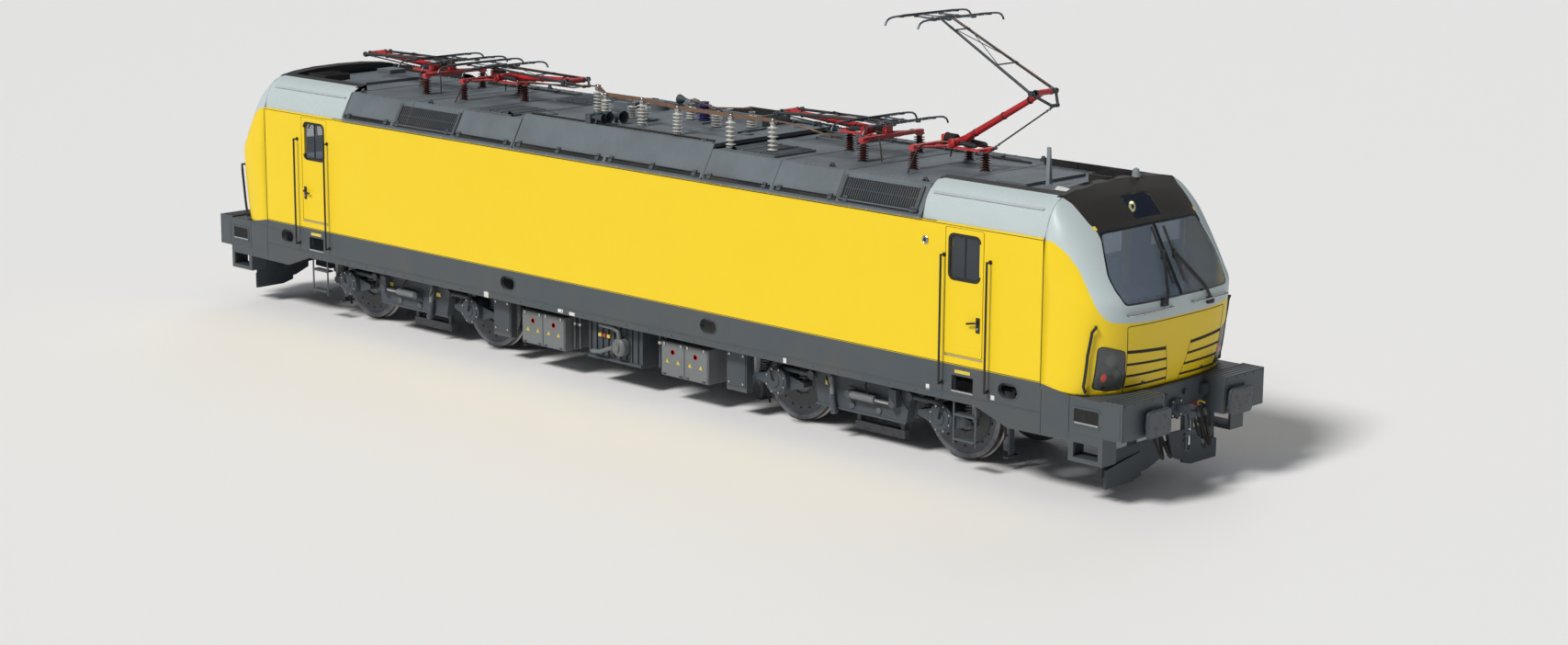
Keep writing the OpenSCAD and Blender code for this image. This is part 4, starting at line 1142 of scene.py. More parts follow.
def underframe_solebar():
    b = Build(LOW)
    slope = [(8.072, 1.36), (8.535, 1.36), (8.072, 1.443)]
    flat = Matrix(((1, 0, 0, 0), (0, 0, -1, -HALF_W + 0.03), (0, 1, 0, 0), (0, 0, 0, 1)))
    b.plate(slope, 0.032, flat, "frame", CORNERS)
    for x in (7.545, 2.13):
        ring = []
        for k in range(36):
            a = tau * k / 36
            cx = 0.055 if cos(a) > 0 else -0.055
            ring.append((x + cx, a))
        inner = [(cx + 0.1 * cos(a), 1.25 + 0.1 * sin(a)) for cx, a in ring]
        outer = [(cx + 0.118 * cos(a), 1.25 + 0.118 * sin(a)) for cx, a in ring]
        y = -HALF_W
        rows = [[(u, y + 0.012, v) for u, v in outer], [(u, y - 0.007, v) for u, v in outer],
            [(u, y - 0.007, v) for u, v in inner], [(u, y + 0.04, v) for u, v in inner]]
        b.band([list(r) + [r[0]] for r in zip(*rows)], "frame", CORNERS)
    b.box((-8.06, -HALF_W - 0.006, 1.05), (8.06, -HALF_W + 0.004, 1.062), "frame", SIDES)
    plates = ((6.785, 1.365, 0.26, 0.045, "label"), (-6.785, 1.365, 0.26, 0.045, "label"),
        (-2.62, 1.005, 0.1, 0.09, "plate"), (-0.95, 1.005, 0.11, 0.05, "plate"),
        (-0.7, 0.995, 0.12, 0.05, "plate"), (3.62, 1.005, 0.06, 0.07, "plate"),
        (6.2, 1.08, 0.06, 0.07, "plate"), (7.3, 1.12, 0.06, 0.06, "plate"))
    for x, z, w, h, name in plates:
        b.box((x - w / 2, -HALF_W - 0.004, z - h / 2), (x + w / 2, -HALF_W + 0.002, z + h / 2), name, ENDS)
    for x in np.arange(-6.9, 7.0, 0.46):
        if abs(abs(x) - 2.13) < 0.25:
            continue
        b.lathe([(0.013, 0), (0.013, 0.006), (0.009, 0.009), (TIP, 0.009)], (x, -HALF_W, 1.005), NEAR,
            "frame", 8, SIDES)
    x0, x1, y, z = 6.605, 6.965, -HALF_W, 1.1
    b.box((x0, y - 0.004, z - 0.01), (x1, y + 0.05, z + 0.014), "steel", CORNERS)
    for k in range(7):
        x = x0 + 0.04 + k * 0.046
        b.box((x, y - 0.003, z + 0.014), (x + 0.012, y + 0.05, z + 0.02), "steel", CORNERS)
    b.make("solebar_details", "carbody", "frame_grey", 0.002, 35)


def underframe_boxes():
    """Doors, ribs, latches, oil pump and pipes on the boxes between the bogies."""
    b = Build(LOW)
    for place in CORNERS:
        y = -1.35
        for x0, x1 in ((1.045, 1.5), (1.515, 1.965)):
            b.box((x0, y - 0.012, 0.365), (x1, y + 0.004, 0.845), "case", [place])
            for x in (x0 + 0.06, x1 - 0.06):
                b.box((x - 0.016, y - 0.024, 0.8), (x + 0.016, y - 0.01, 0.85), "steel", [place])
                b.rod((x - 0.03, y - 0.02, 0.385), (x + 0.03, y - 0.02, 0.385), 0.01, "gear", 8, [place])
        for x in (1.16, 1.38, 1.62, 1.84):
            b.add([(x - 0.035, y - 0.0135, 0.55), (x + 0.035, y - 0.0135, 0.55), (x, y - 0.0135, 0.615)],
                [(0, 1, 2)], "label", [place])
        for x in (1.27, 1.73):
            b.lathe([(0.045, 0), (0.045, 0.003), (0.033, 0.003)], (x, y - 0.012, 0.715), NEAR, "red", 24,
                [place])
            b.lathe([(0.033, 0.0), (0.033, 0.003), (TIP, 0.003)], (x, y - 0.012, 0.715), NEAR, "plate", 24,
                [place])
        for z in (0.42, 0.62):
            b.box((1.03, y - 0.006, z), (1.98, y + 0.002, z + 0.012), "gear", [place])
        for x in (0.85, 0.97):
            b.rod((x, -1.2, 0.4), (x, -1.2, 1.2), 0.022, "gear", 12, [place])
            b.lathe([(0.036, 0), (0.036, 0.04)], (x, -1.2, 0.75), UP, "steel", 10, [place])
    y = -1.3
    for k in range(9):
        x = -0.5 + 0.125 * k
        b.box((x - 0.008, y - 0.028, 0.42), (x + 0.008, y, 0.92), "gear", SIDES)
    b.boxes("gear", SIDES, (-0.56, y - 0.03, 0.36, 0.58, y, 0.4), (-0.56, y - 0.03, 0.93, 0.58, y, 0.965))
    for k in range(12):
        b.bolt(0.014, 0.008, (-0.5 + 0.093 * k, y - 0.03, 0.948), NEAR, "steel", 6, SIDES)
    b.lathe([(0.135, 0), (0.135, 0.1), (0.11, 0.125), (0.06, 0.13), (0.055, 0.155), (TIP, 0.158)],
        (0.2, -1.32, 0.62), NEAR, "case", 28, SIDES)
    b.tube([(0.2, -1.4, 0.76), (0.2, -1.42, 0.86), (0.1, -1.42, 0.9), (-0.2, -1.4, 0.9),
        (-0.24, -1.36, 0.98)], 0.034, "case", 12, SIDES)
    b.tube([(-0.38, -1.32, 0.48), (-0.38, -1.4, 0.48), (-0.2, -1.42, 0.5), (0.06, -1.4, 0.6)], 0.03, "case",
        12, SIDES)
    for k, name in enumerate(("label", "red", "label")):
        x = -0.32 + 0.09 * k
        b.box((x, y - 0.034, 0.7), (x + 0.06, y, 0.75), name, SIDES)
    for place in CORNERS:
        b.box((2.32, -1.312, 0.42), (2.67, -1.296, 0.92), "gear", [place])
        for x, z in ((2.36, 0.47), (2.63, 0.47), (2.36, 0.87), (2.63, 0.87)):
            b.bolt(0.02, 0.012, (x, -1.31, z), NEAR, "steel", 6, [place])
        b.tube([(2.05, -1.05, 0.93), (2.2, -1.1, 0.92), (2.28, -1.15, 1.05), (2.28, -1.15, 1.22)], 0.028,
            "rubber", 10, [place])
    b.make("underfloor_details", "carbody", "box_grey", 0.003, 35)


class LOCO_OT_underframe(bpy.types.Operator):
    """Solebars with their sloping ends, jacking holes and plates, and everything under the floor"""

    bl_idname = "loco.underframe"
    bl_label = "Underframe"

    def execute(self, context):
        refined("underframe", "frame", sizes().bevel)
        refined("transformer_tank", "gear", 0.012)
        refined("underfloor_boxes", "case", 0.012)
        refined("end_steps", "frame", 0.004)
        refined("door_ladders", "frame", 0.004)
        underframe_solebar()
        underframe_boxes()
        return {"FINISHED"}


def ends_buffers():
    b = Build(LOW)
    y, z = -0.875, 1.06
    head = []
    for x, grow in ((FRONT - 0.045, -0.004), (FRONT - 0.04, 0), (FRONT - 0.014, 0),
            (FRONT - 0.003, -0.012)):
        w, h, r = 0.245 + grow, 0.175 + grow, 0.06
        ring = []
        for k in range(40):
            a = tau * k / 40
            cx, cz = (w - r) * (1 if cos(a) > 0 else -1), (h - r) * (1 if sin(a) > 0 else -1)
            ring.append((x, y + cx + r * cos(a), z + cz + r * sin(a)))
        head.append(ring)
    head.append([(FRONT, y + (py - y) * 0.6, z + (pz - z) * 0.6) for _, py, pz in head[-1]])
    head.append([(FRONT, y + (py - y) * 0.02, z + (pz - z) * 0.02) for _, py, pz in head[-1]])
    head.insert(0, [(FRONT - 0.045, y + (py - y) * 0.3, z + (pz - z) * 0.3) for _, py, pz in head[0]])
    b.band(head[:-2], "gear", CORNERS, closed=True)
    b.band(head[-3:], "iron", CORNERS, closed=True)
    b.lathe([(0.17, 0.0), (0.175, 0.004), (0.175, 0.022), (0.168, 0.028), (0.13, 0.028), (0.124, 0.045),
        (0.122, FRONT - 9.375 - 0.085), (0.112, FRONT - 9.375 - 0.075), (0.1, FRONT - 9.375 - 0.075),
        (0.1, FRONT - 9.375 - 0.044)], (9.3755, y, z), AHEAD, "gear", 40, CORNERS)
    for k in range(8):
        a = tau * (k + 0.5) / 8
        b.lathe([(0.018, 0), (0.018, 0.014), (0.012, 0.017), (0.012, 0.024), (TIP, 0.025)],
            (9.375 + 0.028, y + 0.15 * cos(a), z + 0.15 * sin(a)), AHEAD, "steel", 6, CORNERS)
    for dy, dz in ((-0.17, 0.17), (0.17, 0.17), (-0.17, -0.12), (0.17, -0.12)):
        b.bolt(0.02, 0.016, (9.375, y + dy, z + dz), AHEAD, "gear", 6, CORNERS)
    b.make("buffers_finished", "carbody", "steel_dark", 0, 35, ("buffers",))


def ends_coupling():
    """Draw hook's guide and the screw coupling that hangs from it."""
    b = Build(LOW)
    z = 1.04
    b.lathe([(0.145, 0), (0.145, 0.03), (0.12, 0.04), (0.06, 0.045)], (9.088, 0, z), AHEAD, "gear", 4, ENDS)
    for dy, dz in ((-0.085, -0.085), (0.085, -0.085), (-0.085, 0.085), (0.085, 0.085)):
        b.bolt(0.018, 0.016, (9.09, dy, z + dz), AHEAD, "steel", 6, ENDS)
    for s in (1, -1):
        b.tube([(9.285, s * 0.052, z - 0.045), (9.3, s * 0.06, z - 0.13), (9.305, s * 0.062, z - 0.26)],
            0.017, "gear", 10, ENDS)
        b.tube([(9.305, s * 0.062, z - 0.3), (9.3, s * 0.06, z - 0.42), (9.285, s * 0.045, z - 0.5),
            (9.28, s * 0.0, z - 0.525)], 0.017, "gear", 10, ENDS)
    b.rod((9.285, -0.07, z - 0.045), (9.285, 0.07, z - 0.045), 0.022, "gear", 14, ENDS)
    for dz in (0.27, 0.3):
        b.rod((9.305, -0.1, z - dz), (9.305, 0.1, z - dz), 0.026, "gear", 14, ENDS)
    b.rod((9.305, 0, z - 0.22), (9.3, 0, z - 0.44), 0.02, "steel", 14, ENDS)
    b.tube([(9.32, 0.0, z - 0.335), (9.37, 0.1, z - 0.35), (9.38, 0.18, z - 0.42)], 0.012, "gear", 8, ENDS)
    b.roller(0.028, 0.02, (9.38, 0.18, z - 0.42), (0, 1, -1), "gear", 12, ENDS)
    b.make("coupling_screws", "carbody", "steel_dark", 0.002, 35)


def ends_hoses():
    """Air hoses from cocks on the end beam, hooked up on their holders."""
    b = Build(LOW)
    for y, red, reach in ((0.3, True, 0.16), (0.44, False, 0.14), (-0.3, True, 0.16), (-0.44, False, 0.14)):
        s = 1 if y > 0 else -1
        z = 0.985
        b.rod((9.046, y, z), (9.135, y, z), 0.026, "steel", 14, ENDS)
        b.lathe([(0.04, 0), (0.04, 0.05)], (9.085, y, z), AHEAD, "iron", 12, ENDS)
        b.tube([(9.11, y, z + 0.03), (9.11, y, z + 0.075), (9.15, y, z + 0.085), (9.22, y, z + 0.07)], 0.01,
            "red" if red else "label", 8, ENDS)
        pts = [Vector((9.13, y, z))]
        for k in range(1, 15):
            t = k / 14
            pts.append(Vector((9.13 + reach * sin(pi * t), y + s * 0.13 * t,
                z - 0.5 * sin(pi * t) ** 0.8 * (1 - 0.25 * t) - 0.1 * t)))
        b.tube(pts, 0.021, "rubber", 12, ENDS)
        end = pts[-1]
        b.lathe([(0.028, -0.03), (0.032, 0.0), (0.032, 0.05), (0.022, 0.07), (TIP, 0.07)], end,
            (-0.3, 0, 1), "iron", 14, ENDS)
        b.box((9.048, end.y - 0.02, end.z - 0.01), (end.x + 0.02, end.y + 0.02, end.z + 0.015), "gear",
            ENDS)
    for y in (-0.585, 0.585):
        b.boxes("gear", ENDS, (9.048, y - 0.06, 1.13, 9.13, y + 0.06, 1.27),
            (9.13, y - 0.05, 1.14, 9.142, y + 0.05, 1.26))
    b.make("air_hoses", "carbody", "rail_black", 0.002, 40)


def ends_beam():
    """Buffer box faces, end beam plates, plough blades and corner step windows."""
    b = Build(LOW)
    for place in CORNERS:
        b.boxes("frame", [place], (9.1, -HALF_W - 0.004, 0.93, 9.34, -HALF_W + 0.002, 1.34),
            (9.374, -1.49, 0.905, 9.382, -0.66, 1.37))
        for k in range(5):
            b.bolt(0.014, 0.008, (9.382, -0.7 - 0.19 * k, 1.345), AHEAD, "frame", 8, [place])
        b.box((9.383, -0.78, 0.93), (9.387, -0.7, 1.0), "label", [place])
        for k in range(4):
            b.box((9.06 + 0.075 * k, -1.48, 1.38), (9.1 + 0.075 * k, -0.66, 1.387), "frame", [place])
        for k in range(9):
            b.box((8.58 + 0.05 * k, -1.49, 0.588), (8.6 + 0.05 * k, -1.24, 0.596), "gear", [place])
        blade = [(1.2, 0.3), (1.2, 0.6), (0.08, 0.66), (0.08, 0.36), (0.35, 0.26), (0.85, 0.23)]
        v = []
        for y, z in blade:
            x = 9.0 - 0.08 * (y / 1.2) + 0.06 * (0.62 - z)
            v.append((x - 0.1, -y, z))
        n = len(v)
        front = [Vector(p) + Vector((0.012, 0, 0)) for p in v]
        b.add(v + front, [list(range(n)), [n + k for k in range(n)][::-1]] + [(k, n + k, n + (k + 1) % n,
            (k + 1) % n) for k in range(n)], "gear", [place])
        b.box((8.72, -1.1, 0.58), (8.9, -1.04, 0.9), "gear", [place])
        frame_ring(b, 8.815, 1.125, round_rect(0.44, 0.25, 0.03), round_rect(0.38, 0.19, 0.02),
            -HALF_W - 0.008, -HALF_W + 0.002, "frame", [place])
        # near-black sheet inside the step's frame: painted shade of the step's recess
        b.box((8.625, -HALF_W - 0.0015, 1.03), (9.005, -HALF_W + 0.002, 1.22), "slot", [place])
        b.box((8.625, -HALF_W - 0.006, 1.03), (9.005, -HALF_W + 0.001, 1.052), "steel", [place])
        b.boxes("slot", [place], (8.085, -HALF_W - 0.0015, 0.79, 8.093, -HALF_W + 0.004, 1.44),
            (8.536, -HALF_W - 0.0015, 0.9, 8.544, -HALF_W + 0.004, 1.36))
    b.box((9.046, -0.62, 0.9), (9.056, 0.62, 1.35), "frame", ENDS)
    for y in (-0.2, 0.2):
        b.box((9.05, y - 0.03, 1.19), (9.09, y + 0.03, 1.25), "gear", ENDS)
    b.make("end_beam_details", "carbody", "frame_grey", 0.002, 35)


class LOCO_OT_ends(bpy.types.Operator):
    """Buffers, couplings, brake hoses, ploughs and corner steps"""

    bl_idname = "loco.ends"
    bl_label = "Buffers and couplings"

    def execute(self, context):
        ends_buffers()
        refined("screw_couplings", "gear", 0.006)
        refined("snow_ploughs", "gear", 0.006)
        ends_coupling()
        ends_hoses()
        ends_beam()
        return {"FINISHED"}


# ------------------------------------------------------------------ doors, rails and cab interior

DOOR_BODIES = [("cab_door_front_left", MIRROR_Y), ("cab_door_front_right", ONE[0]),
    ("cab_door_rear_left", HALF_TURN), ("cab_door_rear_right", MIRROR_X)]


def round_rect(w, h, r, n=8):
    """A rounded rectangle about the origin, anticlockwise."""
    out = []
    for q, (cx, cy) in enumerate(((w / 2 - r, h / 2 - r), (r - w / 2, h / 2 - r), (r - w / 2, r - h / 2),
            (w / 2 - r, r - h / 2))):
        for k in range(n + 1):
            a = (q + k / n) * pi / 2
            out.append((cx + r * cos(a), cy + r * sin(a)))
    return out


def frame_ring(b, x, z, outer, inner, y0, y1, name, places):
    """A flat ring on the near side wall, between two rounded outlines."""
    rows = [[(x + u, y1, z + v) for u, v in outer], [(x + u, y0, z + v) for u, v in outer],
        [(x + u, y0, z + v) for u, v in inner], [(x + u, y1, z + v) for u, v in inner]]
    b.band([list(c) + [c[0]] for c in zip(*rows)], name, places)


def doors_trim(node, place):
    b = Build(LOW)
    x, y, z = DOOR_MID, -HALF_W, 2.865
    frame_ring(b, x, z, round_rect(0.545, 0.615, 0.092), round_rect(0.47, 0.54, 0.058), y - 0.006,
        y + 0.012, "rubber", [place])
    outline = round_rect(0.502, 0.572, 0.07)
    n = len(outline)
    b.add([(x + u, y + 0.018, z + v) for u, v in outline] + [(x + u, y + 0.026, z + v) for u, v in outline],
        [list(range(n)), list(range(2 * n - 1, n - 1, -1))], "side_pane", [place])
    b.box((x - 0.006, y + 0.01, z - 0.27), (x + 0.006, y + 0.03, z + 0.27), "black", [place])
    hx, hz = DOOR_MID + 0.245, 2.02
    b.box((hx - 0.032, y - 0.008, hz - 0.1), (hx + 0.032, y + 0.004, hz + 0.1), "black", [place])
    b.tube([(hx, y - 0.004, hz + 0.035), (hx, y - 0.045, hz + 0.035), (hx - 0.02, y - 0.052, hz + 0.034),
        (hx - 0.15, y - 0.052, hz + 0.01)], 0.014, "black", 10, [place])
    b.lathe([(0.014, 0), (0.014, 0.012), (TIP, 0.013)], (hx, y - 0.006, hz - 0.045), NEAR, "steel", 16,
        [place])
    kick = (1.6, 1.72)
    b.box((6.5, y - 0.002, kick[0]), (7.065, y + 0.004, kick[1]), "body", [place])
    b.box((6.5, y + 0.058, 1.62), (7.06, y + 0.066, 2.5), "lining", [place])
    b.tube([(hx, y + 0.06, hz), (hx, y + 0.095, hz), (hx - 0.1, y + 0.098, hz)], 0.01, "black", 8, [place])
    b.make(node + "_trim", node, "body_yellow", 0.0015, 35)


def doors_rims():
    """Seal round each door opening, sill plate, and the rails' end bosses."""
    b = Build(LOW)
    y = -HALF_W
    w, h = 0.65, 1.673
    x, z = DOOR_MID, 1.577 + h / 2
    frame_ring(b, x, z, round_rect(w + 0.03, h + 0.03, 0.045), round_rect(w - 0.006, h - 0.006, 0.03),
        y - 0.0035, y + 0.01, "body", CORNERS)
    frame_ring(b, x, z, round_rect(w + 0.002, h + 0.002, 0.032), round_rect(w - 0.018, h - 0.018, 0.026),
        y - 0.001, y + 0.02, "slot", CORNERS)
    b.box((x - w / 2, y - 0.012, 1.56), (x + w / 2, y + 0.02, 1.575), "steel", CORNERS)
    for rx in (6.445, 7.217):
        for rz in (1.18, 2.87):
            b.lathe([(0.03, 0), (0.03, 0.008), (0.017, 0.014)], (rx, y, rz), NEAR, "black", 16, CORNERS)
    b.make("door_rims", "carbody", "body_yellow", 0.001, 35)


class LOCO_OT_doors(bpy.types.Operator):
    """Cab doors with windows, seals and handles, and the grab rails beside them"""

    bl_idname = "loco.doors"
    bl_label = "Cab doors"

    def execute(self, context):
        for node, place in DOOR_BODIES:
            refined(node, "body", 0.004)
            doors_trim(node, place)
        refined("grab_rails", "black", 0.003)
        doors_rims()
        return {"FINISHED"}


def interior_seats():
    b = Build(LOW)
    x, z = 7.85, 1.36
    b.lathe([(0.18, 0), (0.18, 0.022), (0.06, 0.034), (0.05, 0.06), (0.05, 0.4), (0.09, 0.41)], (x, 0, z),
        UP, "iron", 28, ENDS)

    def cushion(low, high, puff, name):
        centre = [(a + c) / 2 for a, c in zip(low, high)]
        half = [(c - a) / 2 for a, c in zip(low, high)]
        rows = []
        for i in range(17):
            t = pi * (i / 16 - 0.5)
            ring = []
            for k in range(32):
                a = tau * k / 32
                def soft(v, p):
                    return (abs(v) ** p) * (1 if v >= 0 else -1)
                ring.append((centre[0] + half[0] * soft(cos(a), puff) * soft(cos(t), puff),
                    centre[1] + half[1] * soft(sin(a), puff) * soft(cos(t), puff),
                    centre[2] + half[2] * soft(sin(t), puff)))
            rows.append(ring)
        b.band(rows, name, ENDS, closed=True)

    cushion((x - 0.26, -0.26, z + 0.4), (x + 0.25, 0.26, z + 0.535), 0.35, "seat")
    cushion((x - 0.355, -0.24, z + 0.5), (x - 0.235, 0.24, z + 1.0), 0.38, "seat")
    cushion((x - 0.35, -0.14, z + 1.0), (x - 0.245, 0.14, z + 1.18), 0.4, "seat")
    for s in (1, -1):
        b.tube([(x - 0.29, s * 0.27, z + 0.62), (x - 0.2, s * 0.275, z + 0.66),
            (x + 0.08, s * 0.275, z + 0.66)], 0.022, "seat", 10, ENDS)
    b.make("driver_seats_finished", "carbody", "seat_dark", 0, 50, ("driver_seats",))


class LOCO_OT_interior(bpy.types.Operator):
    """Cab interior: lining, desk with screens and levers, seat and bulkhead door"""

    bl_idname = "loco.interior"
    bl_label = "Cab interior"

    def execute(self, context):
        refined("drivers_desks", "desk", 0.015)
        refined("converter_racks", "lining", 0.01)
        interior_seats()
        b = Build(LOW)
        floor = 1.362
        b.box((6.115, -1.44, floor), (8.7, 1.44, floor + 0.012), "rubber", ENDS)
        for y in np.linspace(-0.78, 0.78, 5):
            b.box((8.245, y - 0.15, 2.155), (8.262, y + 0.15, 2.3), "black", ENDS)
            b.box((8.242, y - 0.13, 2.175), (8.246, y + 0.13, 2.285), "side_pane", ENDS)
        for y in (-0.5, -0.3, 0.3, 0.5):
            b.rod((8.3, y, 2.1), (8.27, y, 2.22), 0.012, "steel", 10, ENDS)
            b.lathe([(0.024, -0.02), (0.03, 0), (0.024, 0.02), (TIP, 0.026)], (8.268, y, 2.23), UP, "black",
                14, ENDS)
        b.box((6.112, -0.33, 1.44), (6.13, 0.33, 3.22), "lining", ENDS)
        b.box((6.128, 0.2, 2.3), (6.145, 0.26, 2.42), "steel", ENDS)
        b.box((6.112, -1.4, 1.4), (6.4, -0.5, 3.1), "lining", [HALF_TURN, ONE[0]])
        for s in (1, -1):
            b.box((7.22, min(s * 1.436, s * 1.442), 1.4), (8.05, max(s * 1.436, s * 1.442), 3.22), "lining",
                ENDS)
        b.box((6.12, -1.38, 3.62), (7.95, 1.38, 3.64), "lining", ENDS)
        for s in (1, -1):
            b.box((8.36, s * 0.62 - 0.3, 3.02), (8.37, s * 0.62 + 0.3, 3.28), "lining", ENDS)
        b.make("cab_interior", "carbody", "cab_lining", 0.004, 35)
        return {"FINISHED"}


# ------------------------------------------------------------------ bogies and wheels

SPRING_Y = -1.105                # middle of the springs on the near side
BOGIES = [("front_bogie", ONE[0]), ("rear_bogie", HALF_TURN)]


def coil(b, at, r, wire_r, low, high, turns, name, places):
    """A spring's wire between two heights."""
    n = int(turns * 20)
    pts = []
    for k in range(n + 1):
        t = k / n
        a = tau * turns * t
        pts.append((at[0] + r * cos(a), at[1] + r * sin(a), low + wire_r + (high - low - 2 * wire_r) * t))
    b.tube(pts, wire_r, name, 8, places)


def bogies_springs(body, end, shift):
    b = Build()
    for side in SIDES:
        for x in (-0.3, 0.3):
            for r, w, turns in ((0.092, 0.018, 5), (0.058, 0.012, 7)):
                coil(b, (x, SPRING_Y), r, w, 0.975, 1.285, turns, "coil", [shift @ side])
            for z in (0.961, 1.284):
                b.lathe([(0.112, 0), (0.115, 0.004), (0.115, 0.012), (0.1, 0.016)], (x, SPRING_Y, z), UP,
                    "gear", 24, [shift @ side])
        for a in (-AXLE_DX, AXLE_DX):
            for dx in (-0.36, 0.36):
                for r, w, turns in ((0.062, 0.013, 4.5), (0.036, 0.008, 6)):
                    coil(b, (a + dx, SPRING_Y), r, w, 0.668, 0.872, turns, "coil", [shift @ side])
                for z in (0.661, 0.868):
                    b.lathe([(0.076, 0), (0.078, 0.003), (0.078, 0.01), (0.066, 0.012)],
                        (a + dx, SPRING_Y, z), UP, "gear", 20, [shift @ side])
                b.rod((a + dx, SPRING_Y, 0.6), (a + dx, SPRING_Y, 0.88), 0.016, "steel", 10, [shift @ side])
    b.make(f"springs_{end}", body, "spring_steel", 0, 40, (f"bogie_springs_{end}",))


def bogies_fittings(body, end, shift):
    b = Build()
    for side in SIDES:
        place = [shift @ side]
        for a in (-AXLE_DX, AXLE_DX):
            s = 1 if a > 0 else -1
            b.lathe([(0.198, -0.02), (0.2, 0.0), (0.186, 0.014), (0.165, 0.018), (0.16, 0.03),
                (0.135, 0.036), (0.128, 0.03), (0.09, 0.03), (0.082, 0.044), (TIP, 0.047)],
                (a, -1.292, WHEEL_R), NEAR, "gear", 40, place)
            for k in range(8):
                t = tau * (k + 0.5) / 8
                b.bolt(0.015, 0.012, (a + 0.172 * cos(t), -1.306, WHEEL_R + 0.172 * sin(t)), NEAR, "steel",
                    6, place)
            b.tube([(a, -1.335, WHEEL_R), (a + 0.02 * s, -1.36, 0.66), (a + 0.06 * s, -1.36, 0.8),
                (a + 0.05 * s, -1.3, 0.93), (a + 0.02 * s, -1.16, 0.97)], 0.013, "rubber", 8, place)
            for e in (-1, 1):
                v = [(a + e * 0.18, 0.5), (a + e * 0.46, 0.585), (a + e * 0.46, 0.65), (a + e * 0.17, 0.72)]
                if e > 0:
                    v.reverse()
                flat = Matrix(((1, 0, 0, 0), (0, 0, -1, -1.06), (0, 1, 0, 0), (0, 0, 0, 1)))
                b.plate(v, 0.16, flat, "gear", place)
            b.rod((a - 0.02 * s, -1.2, 0.8), (a - s * 0.6, -1.2, 0.8), 0.034, "gear", 16, place)
            b.roller(0.06, 0.045, (a - s * 0.6, -1.2, 0.8), ACROSS, "gear", 20, place)
            x = a + s * 0.46
            b.rod((x, -1.15, 0.63), (x, -1.15, 0.93), 0.036, "case", 16, place)
            b.rod((x, -1.15, 0.58), (x, -1.15, 0.66), 0.018, "steel", 12, place)
            b.roller(0.04, 0.03, (x, -1.15, 0.585), ACROSS, "gear", 16, place)
            b.box((x - 0.045, -1.18, 0.9), (x + 0.045, -1.1, 0.94), "gear", place)
            gx = a + s * 0.76
            b.boxes("gear", place, (gx - 0.035, -0.86, 0.14, gx + 0.035, -0.62, 0.16),
                (gx - 0.012, -0.8, 0.14, gx + 0.012, -0.7, 0.88))
            b.box((min(gx, a + s * 0.44), -0.8, 0.86), (max(gx, a + s * 0.44), -0.7, 0.92), "gear", place)
            b.tube([(gx - s * 0.06, -0.84, 0.8), (gx - s * 0.06, -0.8, 0.45), (gx - s * 0.1, -0.755, 0.2),
                (gx - s * 0.13, -0.75, 0.11)], 0.018, "rubber", 10, place)
            for t in (0.3, -0.3):
                b.box((a + s * 0.7 - 0.03, -0.8, WHEEL_R + t - 0.1),
                    (a + s * 0.755, -0.7, WHEEL_R + t + 0.1), "iron", place)
        b.rod((-0.13, -1.245, 0.66), (0.3, -1.245, 0.66), 0.055, "case", 24, place, 0.006)
        b.rod((0.28, -1.245, 0.66), (0.6, -1.245, 0.66), 0.032, "steel", 18, place)
        for x in (-0.16, 0.63):
            b.roller(0.056, 0.05, (x, -1.245, 0.66), ACROSS, "gear", 22, place)
        b.boxes("gear", place, (-0.22, -1.2, 0.58, -0.1, -1.17, 0.75),
            (0.57, -1.28, 0.62, 0.7, -1.17, 0.86))
        b.rod((-0.52, -1.235, 0.845), (-0.47, -1.235, 0.44), 0.034, "case", 18, place)
        b.rod((-0.5, -1.235, 0.6), (-0.455, -1.235, 0.38), 0.044, "gear", 18, place)
        for x, z in ((-0.53, 0.87), (-0.45, 0.37)):
            b.roller(0.042, 0.035, (x, -1.235, z), ACROSS, "gear", 18, place)
        b.boxes("gear", place, (-0.84, -1.188, 0.395, 0.8, -1.176, 0.425),
            (-1.95, -1.19, 0.875, 1.95, -1.172, 0.892), (-1.95, -1.19, 0.95, 1.95, -1.172, 0.966))
        for x in np.arange(-1.85, 1.9, 0.22):
            if abs(x) > 0.4:
                b.bolt(0.012, 0.007, (x, -1.18, 0.92), NEAR, "steel", 6, place)
        for z, r in ((0.99, 0.014), (1.022, 0.01)):
            b.tube([(-1.8, -1.13, z), (-0.5, -1.15, z), (-0.44, -1.19, z - 0.06), (0.44, -1.19, z - 0.06),
                (0.5, -1.15, z), (1.8, -1.13, z)], r, "rubber", 8, place)
        for x in (-0.62, 0.1, 0.72):
            b.tube([(x, -1.19, 0.9), (x + 0.03, -1.25, 0.82), (x + 0.1, -1.27, 0.72),
                (x + 0.16, -1.21, 0.6)], 0.011, "rubber", 8, place)
        for x in (-0.66, 0.5):
            b.box((x, -1.192, 0.7), (x + 0.09, -1.178, 0.76), "label", place)
        for x in (-0.02, 0.04):
            b.lathe([(0.045, 0), (0.045, 0.02), (0.03, 0.024), (TIP, 0.026)], (x * 8, -1.18, 0.5), NEAR,
                "iron", 24, place)
        b.box((-0.45, -0.8, 0.055), (0.45, -0.7, 0.175), "iron", place)
        for x in (-0.4, 0.4):
            b.box((x - 0.03, -0.79, 0.17), (x + 0.03, -0.71, 0.58), "gear", place)
    for a in (-1.95, 1.95):
        b.rod((a * 0.985, -1.05, 0.92), (a * 0.985, 1.05, 0.92), 0.05, "gear", 20, [shift])
    for a in (-1, 1):
        b.lathe([(0.3, 0), (0.3, 0.05), (0.26, 0.08), (TIP, 0.08)], (a * 0.86, 0.4, 0.615), ACROSS, "iron",
            32, [shift])
        b.lathe([(0.3, 0), (0.3, 0.05), (0.26, 0.08), (TIP, 0.08)], (a * 0.86, -0.4, 0.615), NEAR, "iron",
            32, [shift])
    b.make(f"bogie_details_{end}", body, "bogie_grey", 0, 35)


